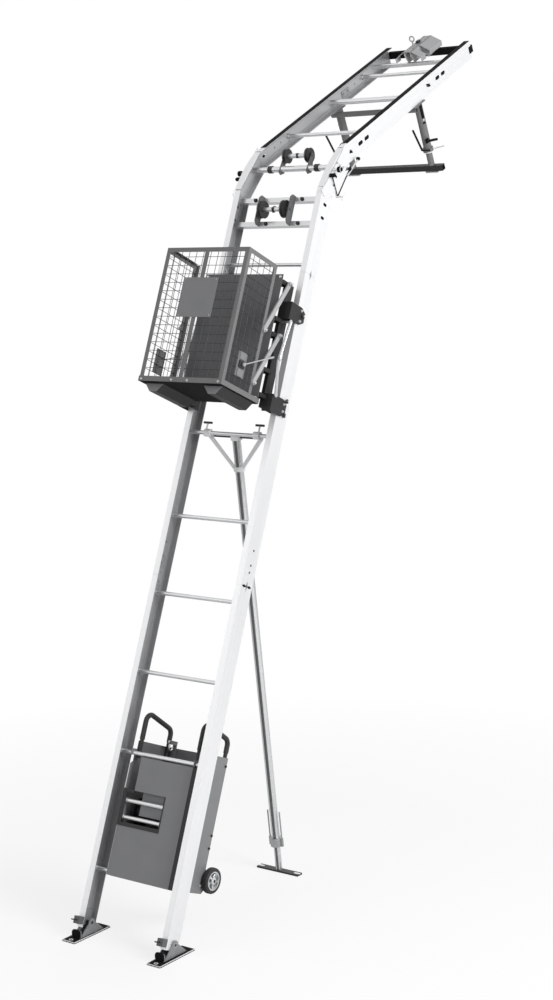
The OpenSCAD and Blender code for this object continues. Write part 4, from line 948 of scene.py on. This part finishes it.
class HOIST_OT_foot_details(bpy.types.Operator):
    """Pale strips of painted highlight on the plate edges, teeth, black pads, pivot rims and wing screws of
    the feet
    """

    bl_idname = "hoist.foot_details"
    bl_label = "Foot details"

    def execute(self, context):
        pitch = context.scene.hoist_sizes.tooth
        ground = GROUND @ shift(FOOT_Y, 0)
        left = FOOT_MID - FOOT_HALF
        right = FOOT_MID + FOOT_HALF
        saw = saw_edge(-FOOT_FRONT, FOOT_BACK, 0, EDGE_LOW, pitch)
        front = saw_edge(left, right, 0, EDGE_LOW, pitch)
        teeth = join(
            plate(saw, right, right + TOOTH_T, "x", 0), plate(saw, left - TOOTH_T, left, "x", 0),
            plate(front, -FOOT_FRONT - TOOTH_T, -FOOT_FRONT, "n", 0))
        # Painted highlight: pale strips along the foot plate's edges and a pale ring round the anchor hole.
        edge = join(
            block((right, -FOOT_FRONT, EDGE_LOW), (right + EDGE_T, FOOT_BACK, EDGE_HIGH)),
            block((left - EDGE_T, -FOOT_FRONT, EDGE_LOW), (left, FOOT_BACK, EDGE_HIGH)),
            block((left - EDGE_T, -FOOT_FRONT - EDGE_T, EDGE_LOW), (right + EDGE_T, -FOOT_FRONT, EDGE_HIGH)),
            tube((FOOT_MID, ANCHOR_Y, FOOT_T), (FOOT_MID, ANCHOR_Y, FOOT_T + EDGE_T), *ANCHOR_RING[::-1]))
        pad = plate(rounded((FOOT_MID - PAD_SHIFT, (FOOT_T + PAD_HIGH) / 2),
                            CHEEK_OUT - CHEEK_IN + 2 * CHEEK_T, PAD_HIGH - FOOT_T, PAD_ROUND),
                    PAD_FRONT, PAD_BACK, "n")
        sheet = block((left + TOP_SHEET_IN, TOP_SHEET_IN - FOOT_FRONT, FOOT_T),
                      (right - TOP_SHEET_IN, FOOT_BACK - TOP_SHEET_IN, FOOT_T + TOP_SHEET_T), TOP_SHEET_T / 2)
        outer = CHEEK_OUT + CHEEK_T
        rims = tube((outer, 0, FOOT_Z), (outer + EDGE_T, 0, FOOT_Z), *CHEEK_RIM)
        groups = (
            ("teeth", teeth, "Black rubber", "rubber"), ("edges", edge, "Pale powder coat", "steel"),
            ("pad", pad, "Matt black coat", "rubber"), ("rim", rims, "Dull zinc plate", "steel"),
            ("sheet", sheet, "Matt black coat", "dark_paint"))
        for side in ("left", "right"):
            for kind, part, material, slot in groups:
                sided = mirror(part) if side == "left" else part
                make_piece(f"foot_{side}_{kind}", sided, ground, f"foot_{side}", material)
        screw = join(
            rod((RAIL_MID, STOP_FRONT - WING_LEN, STOP_S), (RAIL_MID, STOP_FRONT, STOP_S), WING_R),
            rod((RAIL_MID - WING_LEN / 2, STOP_FRONT - WING_LEN, STOP_S),
                (RAIL_MID + WING_LEN / 2, STOP_FRONT - WING_LEN, STOP_S), WING_R))
        make_piece("stop_screws", both_sides(screw), LADDER, "ladder", "Black powder coat")
        return {"FINISHED"}


# Winch wheels

AXLE_N = 0.430
AXLE_S = 0.495
WHEEL_IN = 0.243
WHEEL_W = 0.040
WHEEL_R = 0.080
TYRE_BORE = 0.058
RIM_R = 0.060
RIM_IN = 0.050
HUB_R = 0.024
SPOKES = 5
SPOKE_HALF = 0.008
DISH = 0.010
TREADS = 3
TREAD_EDGE = 0.6
TYRE_CROWN_SHARE = 0.93
TYRE_CROWN_POWER = 4
TYRE_STEPS = 41
TYRE_SIDES = 48
RIM_SIDES = 40
HUB_ROOT_SHARE = 0.12


def tyre_profile(tread):
    """Across and radius of a tyre: rounded shoulders, a crowned tread with grooves, and its bore."""
    way = np.linspace(0, WHEEL_W, TYRE_STEPS)
    middle = (way - WHEEL_W / 2) / (WHEEL_W / 2)
    share = TYRE_CROWN_SHARE + (1 - TYRE_CROWN_SHARE) * (1 - np.abs(middle) ** TYRE_CROWN_POWER)
    groove = tread * (np.cos(middle * math.pi * (TREADS + 1)) > TREAD_EDGE)
    return np.stack([way, WHEEL_R * share - groove], axis=1)


class HOIST_OT_winch_wheels(bpy.types.Operator):
    """Winch wheels with grooved tyres and spoked hubs"""

    bl_idname = "hoist.winch_wheels"
    bl_label = "Winch wheels"

    def execute(self, context):
        where = LADDER @ shift(AXLE_N, AXLE_S)
        profile = tyre_profile(context.scene.hoist_sizes.tread)
        bore = [(WHEEL_W, TYRE_BORE), (0, TYRE_BORE), tuple(profile[0])]
        tyre = lathe((WHEEL_IN, 0, 0), (1, 0, 0), np.concatenate([profile, bore]), TYRE_SIDES)
        tyre = (tyre[0], tyre[1][:1])
        tyres = make_piece("winch_tyres", both_sides(tyre), where, "winch_wheels", "Black rubber")
        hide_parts("winch_wheels")
        outer = WHEEL_IN + WHEEL_W
        angle = np.arange(SPOKES) * (2 * math.pi / SPOKES)
        arms = []
        for turn in angle:
            way = np.array((math.cos(turn), math.sin(turn)))
            across = np.array((-way[1], way[0]))
            root = way * HUB_R * HUB_ROOT_SHARE
            tip = way * RIM_R
            outline = [root - across * SPOKE_HALF, tip - across * SPOKE_HALF / 2,
                       tip + across * SPOKE_HALF / 2, root + across * SPOKE_HALF]
            arms.append(plate(outline, WHEEL_IN + DISH, outer - DISH, "x"))
        rim = tube((WHEEL_IN + EASE, 0, 0), (outer - EASE, 0, 0), RIM_R, RIM_IN, RIM_SIDES)
        hub = lathe((WHEEL_IN, 0, 0), (1, 0, 0), [
            (0, HUB_R - EASE), (EASE, HUB_R), (WHEEL_W, HUB_R), (WHEEL_W + DISH / 2, HUB_R / 2)],
            SMOOTH_SIDES)
        part = both_sides(join(rim, hub, *arms))
        make_piece("winch_hubs", part, where, "winch_wheels", "Bright zinc plate")
        return {"FINISHED"}


# Winch

HANDLE_X = 0.221
HANDLE_N = (0.092, 0.369)
HANDLE_BEND = 0.045
HANDLE_TOP = (1.358, 1.3082)
HANDLE_SLOPE = 14.9
SLEEVE_FROM = (1.245, 1.262)
SLEEVE_R = 0.0158
SLEEVE_SIDES = 20
TRIM_N = (0.0395, 0.0470)
WINDOW_TRIM = (
    ((-0.2375, 0.712), (-0.213, 0.938)), ((-0.213, 0.712), (0.084, 0.736)),
    ((-0.213, 0.920), (-0.158, 0.938)), ((0.076, 0.736), (0.084, 0.932)))
# Painted shade: a black strip in the gap between the cover's right edge and the rail.
EDGE_SHADE_STRIP = ((0.237, 0.0405, 0.409), (0.2685, 0.0450, 1.137))
INNER_PLATE = ((-0.118, 0.0822, 0.790), (0.090, 0.0845, 0.935))
SIDE_FACE = 0.237
SIDE_SCREWS = ((0.372, 1.183), (0.372, 0.758), (0.372, 0.680))
SIDE_NUT = (0.361, 0.455)
GUIDES = (("fairlead_upper", 0.868), ("fairlead_lower", 0.766))
GUIDE_N = 0.064
GUIDE_ENDS = ((-0.2185, -0.2115), (0.0705, 0.0775))
GUIDE_COLLAR = (0.0165, 0.0131)


def handle_path():
    """Middle line of a handle: up its front leg, round two bends with a slope between, down its back leg."""
    tilt = math.pi / 2 - math.radians(HANDLE_SLOPE)
    turns = (np.linspace(math.pi, tilt, ARC_STEPS), np.linspace(tilt, 0, ARC_STEPS))
    middles = ((HANDLE_N[0] + HANDLE_BEND, HANDLE_TOP[0]), (HANDLE_N[1] - HANDLE_BEND, HANDLE_TOP[1]))
    bends = [np.stack([n + HANDLE_BEND * np.cos(turn), s + HANDLE_BEND * np.sin(turn)], axis=1)
             for (n, s), turn in zip(middles, turns)]
    line = np.concatenate([[(HANDLE_N[0], SLEEVE_FROM[0])], *bends, [(HANDLE_N[1], SLEEVE_FROM[1])]])
    return np.column_stack([np.full(len(line), HANDLE_X), line])


class HOIST_OT_winch_fittings(bpy.types.Operator):
    """Handle sleeves, window trim, a painted shade strip at the cover's edge, inner plate, screws and roller
    collars of the winch
    """

    bl_idname = "hoist.winch_fittings"
    bl_label = "Winch fittings"

    def execute(self, context):
        size = context.scene.hoist_sizes
        sleeves = both_sides(sweep(handle_path(), circle(SLEEVE_R, SLEEVE_SIDES), (1, 0, 0)))
        make_piece("handle_sleeves", sleeves, LADDER, "ladder", "Black rubber")
        trim = box_set([
            ((low[0], TRIM_N[0], low[1]), (high[0], TRIM_N[1], high[1])) for low, high in WINDOW_TRIM])
        # The window trim, and the black strip of painted shade at the cover's right edge.
        make_piece("winch_trim", join(trim, block(*EDGE_SHADE_STRIP)), LADDER, "ladder", "Black rubber")
        inner = block(*INNER_PLATE)
        make_piece("winch_inner_plate", inner, LADDER, "ladder", "Winch powder coat")
        heads = bolts([(SIDE_FACE, n, s) for n, s in SIDE_SCREWS], (1, 0, 0), size.screw)
        make_piece("winch_screws", both_sides(heads), LADDER, "ladder", "Black powder coat")
        heads = bolts([(SIDE_FACE,) + SIDE_NUT], (1, 0, 0), size.screw)
        make_piece("winch_nuts", both_sides(heads), LADDER, "ladder", "Bright zinc plate")
        for body, s in GUIDES:
            collars = [tube((low, GUIDE_N, s), (high, GUIDE_N, s), *GUIDE_COLLAR) for low, high in GUIDE_ENDS]
            make_piece(f"{body}_collars", join(*collars), LADDER, body, "Bright zinc plate")
        return {"FINISHED"}


# Pulley blocks and knee

SPINDLE_R = 0.0155
SPINDLE_HALF = 0.074
NUT_R = 0.023
NUT_HALF = 0.008
NUT_SIDES = 4
SHEAVES = (("block_sheaves", LADDER, (0.0, 4.6835)), ("knee_sheaves", KNEE, (0.024, 0.309)))
CLAMP_FRONT = 0.040
CLAMP_PLACES = ((-0.188, 4.765), (0.172, 4.765), (0.177, 4.602), (-0.070, 4.602))
BEND_RUNG = (0.055, 0.223)
BEND_TUBE = (0.292, 0.0192)
BEND_CLAMP_X = (-0.190, 0.172)
BEND_CLAMP_W = 0.030
BEND_CLAMP = (0.0245, 0.0192)
KNEE_FACE = 0.3465
GUSSET_FACE = 0.3515
CROWN_SAG = 0.012
CROWN_END = 0.012
CROWN_ROOT = 0.003
CROWN_STEPS = 17
KNOBS = (((0.3719, 0.016, 0.158), 0.0296, 0.0185), ((KNEE_FACE, 0.004, 0.095), 0.038, 0.013))
GUSSET_LINE = ((0.024, 0.104), (0.150, 0.053), (0.138, 0.270))
GUSSET_LINE_W = 0.010
GUSSET_LINE_T = 0.0014
STAY = ((0.357, 0.140, 0.225), (0.357, 0.160, 0.390))
STAY_R = 0.006
STAY_END = ((0.346, 0.160, 0.398), 0.022, 0.012)
KNEE_BOLTS = ((0.0114, 0.2119), (0.0415, 0.2209), (0.0778, 0.2401))
KNEE_CATCHES = (
    ((0.3465, 0.025, 0.127), (0.356, 0.060, 0.139)), ((0.3515, 0.122, 0.268), (0.362, 0.148, 0.292)))
# Painted shade: a thin black disc on the knee plate stands for a hole.
KNEE_HOLE_SHADE = ((KNEE_FACE, 0.0755, 0.0825), 0.0015, 0.010)


def crown():
    """Curved front of a knee rail: a parabola over the chord between the hinges, carried across the rail."""
    share = np.linspace(-1, 1, CROWN_STEPS)
    u = KNEE_LEN / 2 + share * (KNEE_LEN / 2 - CROWN_END)
    front = np.stack([-CROWN_SAG * (1 - share ** 2), u], axis=1)
    back = [(CROWN_ROOT, u[-1]), (CROWN_ROOT, u[0])]
    return plate(np.concatenate([front, back]), FLANGE_IN, KNEE_FACE, "x", 0)


class HOIST_OT_knee_fittings(bpy.types.Operator):
    """Spindles and nuts of the pulley blocks, clamps, curved fronts, knobs, stays and catches of the knee"""

    bl_idname = "hoist.knee_fittings"
    bl_label = "Knee fittings"

    def execute(self, context):
        size = context.scene.hoist_sizes
        for body, where, (n, s) in SHEAVES:
            spindle = rod((-SPINDLE_HALF, n, s), (SPINDLE_HALF, n, s), SPINDLE_R, ROUND_SIDES)
            make_piece(f"{body}_spindle", spindle, where, body, "Bright zinc plate")
            nut = lathe((-NUT_HALF, n, s), (1, 0, 0), [(0, NUT_R), (2 * NUT_HALF, NUT_R)], NUT_SIDES)
            make_piece(f"{body}_nut", nut, where, body, "Black nylon")
        clamps = bolts([(x, CLAMP_FRONT, s) for x, s in CLAMP_PLACES], (0, -1, 0), size.bolt)
        make_piece("crossbar_clamps", clamps, LADDER, "ladder", "Black powder coat")
        half = BEND_CLAMP_W / 2
        clamps = [tube((x - half, *BEND_RUNG), (x + half, *BEND_RUNG), *BEND_CLAMP) for x in BEND_CLAMP_X]
        make_piece("bend_clamps", join(*clamps), KNEE, "knee", "Black nylon")
        cover = rod((-BEND_TUBE[0], *BEND_RUNG), (BEND_TUBE[0], *BEND_RUNG), BEND_TUBE[1], SMOOTH_SIDES)
        make_piece("bend_tube", cover, KNEE, "knee", "Drawn aluminium tube")
        make_piece("knee_crowns", both_sides(crown()), KNEE, "knee", "Extruded aluminium, knee")
        lines = [plate(strip(start, end, GUSSET_LINE_W), GUSSET_FACE, GUSSET_FACE + GUSSET_LINE_T, "x", 0)
                 for start, end in zip(GUSSET_LINE, GUSSET_LINE[1:])]
        grips = [knob(*values) for values in KNOBS + (STAY_END,)]
        # Painted shade: a black disc where the knee plate has a hole.
        hole = rod(KNEE_HOLE_SHADE[0], np.add(KNEE_HOLE_SHADE[0], (KNEE_HOLE_SHADE[1], 0, 0)), KNEE_HOLE_SHADE[2])
        black = both_sides(join(box_set(KNEE_CATCHES), hole, *lines, *grips))
        make_piece("knee_catches", black, KNEE, "knee", "Matt black coat")
        heads = bolts([(KNEE_FACE, v, u) for v, u in KNEE_BOLTS], (1, 0, 0), size.screw)
        bright = both_sides(join(heads, rod(*STAY, STAY_R)))
        make_piece("knee_stays", bright, KNEE, "knee", "Bright zinc plate")
        return {"FINISHED"}


# Prop

PROP_R = 0.0275
PROP_LEG_R = 0.0225
PROP_TOP = -0.014
CLAMP_H = 0.190
STRIPE_TURN = 16
STRIPE_SPREAD = 20
STRIPE_T = 0.0005
FOOT_SLOT_X = 0.145
FOOT_SLOT = (0.050, 0.022)
FOOT_BAR_T = 0.012
FOOT_SLOT_T = 0.0008
FOOT_LEG_H = 0.016
# Painted shadow: a black bar under the rung, standing partly for the prop's cross tube and partly for the
# rung's shadow.
YOKE_SHADOW_BAR = ((-0.168, 0.0235, -0.0305), (0.168, 0.0325, -0.0115))
FLAP = ((0.168, 0.046, 3.264), (0.233, 0.058, 3.276))
FLAP_BRACKET = ((0.196, 0.048, 3.216), (0.206, 0.054, 3.266))


def groove_shade(radius, low, high):
    """Painted shade of a groove along a tube: a dark arc a little over the surface, carried along the tube.
    """
    turn = np.radians(np.linspace(STRIPE_TURN - STRIPE_SPREAD, STRIPE_TURN + STRIPE_SPREAD, ARC_STEPS))
    arc = np.stack([-np.sin(turn), -np.cos(turn)], axis=1)
    profile = np.concatenate([arc * (radius + STRIPE_T), arc[::-1] * (radius - STRIPE_T)])
    return sweep([(0, PROP_BACK, low), (0, PROP_BACK, high)], profile, (0, 1, 0))


class HOIST_OT_prop_fittings(bpy.types.Operator):
    """Painted shade in the grooves of the prop's tubes, slots of its foot, a black bar under its rung that is
    partly painted shadow, and the flaps beside it
    """

    bl_idname = "hoist.prop_fittings"
    bl_label = "Prop fittings"

    def execute(self, context):
        upper = groove_shade(PROP_R, CLAMP_H - PROP_LEN, PROP_TOP)
        # Painted shade: dark strips stand for the grooves of the prop's tubes.
        make_piece("prop_groove", upper, PROP, "prop", "Dark powder coat")
        lower = groove_shade(PROP_LEG_R, FOOT_LEG_H - PROP_LEN, CLAMP_H - PROP_LEN)
        make_piece("prop_leg_groove", lower, PROP, "prop_leg", "Dark powder coat")
        # Black bar under the rung: partly painted shadow of the rung.
        make_piece("yoke_bar", block(*YOKE_SHADOW_BAR), PROP, "prop", "Black powder coat")
        foot = PROP @ (0, PROP_BACK, -PROP_LEN, 1)
        slots = plate(rounded((FOOT_SLOT_X, 0), *FOOT_SLOT, FOOT_SLOT[1] / 2 - EASE),
                      FOOT_BAR_T, FOOT_BAR_T + FOOT_SLOT_T, "s", FOOT_SLOT_T / 2)
        where = shift(foot[1], 0)
        make_piece("prop_foot_slots", both_sides(slots), where, "prop_leg", "Bright zinc plate")
        flaps = both_sides(block(*FLAP))
        make_piece("rung_flaps", flaps, LADDER, "ladder", "Black powder coat")
        brackets = both_sides(block(*FLAP_BRACKET))
        make_piece("flap_brackets", brackets, LADDER, "ladder", "Pale powder coat")
        return {"FINISHED"}


# Head and roof support

HOOD_LINE = ((0.0305, -0.0592, 1.570), (0.0335, -0.0570, 1.895))
NUT_CAP = ((-0.0107, -0.0759, 1.7343), (0.0107, -0.0580, 1.7707))
LEG_T = 1.035
SUPPORT_R = 0.0285
SLOT_TURNS = (40, 88)
SLOT_T = 0.0006
SLOTS = ((0.124, 0.230), (0.256, 0.270))
PIN_TURN = 62
PIN_D = 0.243
PIN_BALL_R = 0.006
COLLAR_LINE = ((0.472, 0.479), 0.0345)
LEVER_CLAMP = ((0.338, 0.372, 0.993), (0.352, 0.402, 1.020))
LEVERS = (
    ((0.350, 0.245, 0.846), (0.350, 0.416, 0.906), 0.007),
    ((0.350, 0.416, 0.906), (0.350, 0.455, 1.002), 0.006),
    ((0.352, 0.384, 0.990), (0.352, 0.426, 1.124), 0.009))
LIGHT_LEVER = ((0.350, 0.462, 1.050), (0.350, 0.505, 1.196))
LIGHT_LEVER_R = 0.006
SOLE_X = (0.271, 0.367)
SOLE_D = (0.632, 0.624)
SOLE_T = (1.016, 1.054)


def round_support(degrees, radius):
    """Across and along of places round a support sleeve, turned outwards from its front."""
    turn = np.radians(degrees)
    return np.stack([RAIL_MID + radius * np.sin(turn), LEG_T - radius * np.cos(turn)], axis=-1)


def sleeve_slot_shade():
    """Painted shade of the slots of a support sleeve: dark curved strips a little over its surface."""
    turns = np.linspace(*SLOT_TURNS, ARC_STEPS)
    outer = round_support(turns, SUPPORT_R + SLOT_T)
    outline = np.concatenate([outer, round_support(turns[::-1], SUPPORT_R - SLOT_T)])
    return join(*[plate(outline, low, high, "n", 0) for low, high in SLOTS])


class HOIST_OT_head_fittings(bpy.types.Operator):
    """Edge line and nut cap of the hood, dark strips of painted shade for the slots, collars, pins, levers
    and soles of the roof support
    """

    bl_idname = "hoist.head_fittings"
    bl_label = "Head fittings"

    def execute(self, context):
        size = context.scene.hoist_sizes
        make_piece("hood_caps", box_set((HOOD_LINE, NUT_CAP)), TOP, "top", "Black nylon")
        levers = [rod(start, end, radius) for start, end, radius in LEVERS]
        # Painted shade: the sleeves' slots are dark strips over the surface.
        black = both_sides(join(sleeve_slot_shade(), block(*LEVER_CLAMP), *levers))
        make_piece("support_levers", black, TOP, "top", "Matt black coat")
        x, t = round_support(PIN_TURN, SUPPORT_R)
        (low, high), radius = COLLAR_LINE
        line = rod((RAIL_MID, low, LEG_T), (RAIL_MID, high, LEG_T), radius, SMOOTH_SIDES)
        make_piece("collar_lines", both_sides(line), TOP, "top", "Pale powder coat")
        bright = join(ball((x, PIN_D, t), PIN_BALL_R), rod(*LIGHT_LEVER, LIGHT_LEVER_R))
        make_piece("support_pins", both_sides(bright), TOP, "top", "Bright zinc plate")
        teeth = plate(saw_edge(*SOLE_X, *SOLE_D, size.tooth / 2), *SOLE_T, "s", 0)
        make_piece("support_teeth", both_sides(teeth), TOP, "support", "Pale powder coat")
        return {"FINISHED"}


# Stage

CAMERA_PLACE = (6.3193, -9.33447, 3.9253)
CAMERA_TURN = (90 - 7.183, 0, 34.467)
CAMERA_LENS = 62.06
SENSOR = 36.0
FLOOR_SIZE = 60.0
FLOOR_FADE = (1.5, 5.0)
FLOOR_SHARE = 0.75
FLOOR_PALE = 0.9
FLOOR_ROUGH = 0.9
SURROUND_LIGHT = 0.42
LAMPS = (
    ("key", (8.0, -1.5, 6.0), (0, 0.3, 2.6), 4.0, 620),
    ("front", (-2.5, -9.0, 6.0), (0, 0, 2.4), 5.0, 100),
    ("back", (-3.0, 7.0, 7.0), (0, 0, 3.0), 4.0, 120),
)


class HOIST_OT_stage(bpy.types.Operator):
    """Pale floor, soft lamps, white surround and the camera"""

    bl_idname = "hoist.stage"
    bl_label = "Stage"

    def execute(self, context):
        scene = context.scene
        scene.view_settings.view_transform = "Standard"
        camera = bpy.data.objects.new("camera", bpy.data.cameras.new("camera"))
        camera.data.sensor_fit = "VERTICAL"
        camera.data.sensor_height = SENSOR
        camera.data.lens = CAMERA_LENS
        camera.location = CAMERA_PLACE
        camera.rotation_euler = tuple(math.radians(turn) for turn in CAMERA_TURN)
        scene.collection.objects.link(camera)
        scene.camera = camera
        self.floor()
        for name, place, aim, size, power in LAMPS:
            lamp = bpy.data.objects.new(f"lamp_{name}", bpy.data.lights.new(f"lamp_{name}", "AREA"))
            lamp.data.size = size
            lamp.data.energy = power
            lamp.location = place
            away = np.array(aim) - place
            lamp.rotation_euler = (
                math.acos(-away[2] / np.linalg.norm(away)), 0, math.atan2(away[1], away[0]) - math.pi / 2)
            scene.collection.objects.link(lamp)
        self.surround(scene)
        return {"FINISHED"}

    def floor(self):
        """A wide pale floor that shows white to the camera and keeps a soft shadow."""
        tree, shader, coords = new_finish("Pale floor")
        shader.inputs["Base Color"].default_value = (FLOOR_PALE,) * 3 + (1,)
        shader.inputs["Roughness"].default_value = FLOOR_ROUGH
        path = add(tree, "ShaderNodeLightPath")
        glow = add(tree, "ShaderNodeEmission", {"Color": (1, 1, 1, 1), "Strength": 1.0})
        reach = add(tree, "ShaderNodeVectorMath", {0: coords}, operation="LENGTH")
        fade = add(tree, "ShaderNodeMapRange", {
            "Value": reach.outputs["Value"], "From Min": FLOOR_FADE[0], "From Max": FLOOR_FADE[1],
            "To Min": FLOOR_SHARE, "To Max": 1.0})
        share = add(tree, "ShaderNodeMath", {0: path.outputs["Is Camera Ray"], 1: fade.outputs["Result"]},
                    operation="MULTIPLY")
        mix = add(tree, "ShaderNodeMixShader", {
            0: share.outputs[0], 1: shader.outputs[0], 2: glow.outputs[0]})
        output = next(node for node in tree.nodes if node.type == "OUTPUT_MATERIAL")
        tree.links.new(mix.outputs[0], output.inputs["Surface"])
        half = FLOOR_SIZE / 2
        corners = [(-half, -half, 0), (half, -half, 0), (half, half, 0), (-half, half, 0)]
        mesh = bpy.data.meshes.new("floor")
        mesh.from_pydata(corners, [], [(0, 1, 2, 3)])
        mesh.materials.append(bpy.data.materials["Pale floor"])
        floor = bpy.data.objects.new("floor", mesh)
        bpy.context.scene.collection.objects.link(floor)

    def surround(self, scene):
        """A world that is white to the camera, in reflections and through glass, and dimmer as light."""
        world = bpy.data.worlds.new("surround")
        world.use_nodes = True
        scene.world = world
        tree = world.node_tree
        tree.nodes.clear()
        path = add(tree, "ShaderNodeLightPath")
        seen = path.outputs["Is Camera Ray"]
        for kind in ("Is Glossy Ray", "Is Transmission Ray"):
            either = add(tree, "ShaderNodeMath", {0: seen, 1: path.outputs[kind]}, operation="MAXIMUM")
            seen = either.outputs[0]
        strength = add(tree, "ShaderNodeMapRange", {"Value": seen, "To Min": SURROUND_LIGHT, "To Max": 1.0})
        sky = add(tree, "ShaderNodeBackground", {
            "Color": (1, 1, 1, 1), "Strength": strength.outputs["Result"]})
        add(tree, "ShaderNodeOutputWorld", {"Surface": sky.outputs["Background"]})


OPERATORS = (
    HOIST_OT_finishes, HOIST_OT_cage_wires, HOIST_OT_cage_fittings, HOIST_OT_carriage_fittings,
    HOIST_OT_rail_details, HOIST_OT_foot_details, HOIST_OT_winch_wheels, HOIST_OT_winch_fittings,
    HOIST_OT_knee_fittings, HOIST_OT_prop_fittings, HOIST_OT_head_fittings, HOIST_OT_stage,
)


class HOIST_PT_panel(bpy.types.Panel):
    """Sizes, colours and pieces of the hoist's dress"""

    bl_idname = "HOIST_PT_panel"
    bl_label = "Hoist"
    bl_space_type = "VIEW_3D"
    bl_region_type = "UI"
    bl_category = "Hoist"

    def draw(self, context):
        for group in (context.scene.hoist_sizes, context.scene.hoist_colours):
            for key in group.__annotations__:
                self.layout.prop(group, key)
        for operator in OPERATORS:
            self.layout.operator(operator.bl_idname)


CLASSES = (HoistSizes, HoistColours) + OPERATORS + (HOIST_PT_panel,)


def register():
    """Registers the classes and hangs the settings on the scene."""
    for item in CLASSES:
        bpy.utils.register_class(item)
    bpy.types.Scene.hoist_sizes = bpy.props.PointerProperty(type=HoistSizes)
    bpy.types.Scene.hoist_colours = bpy.props.PointerProperty(type=HoistColours)


def unregister():
    """Takes the settings and the classes away."""
    del bpy.types.Scene.hoist_colours
    del bpy.types.Scene.hoist_sizes
    for item in reversed(CLASSES):
        bpy.utils.unregister_class(item)


def main():
    """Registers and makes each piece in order."""
    register()
    for operator in OPERATORS:
        group, name = operator.bl_idname.split(".")
        getattr(getattr(bpy.ops, group), name)()


if __name__ == "__main__":
    main()
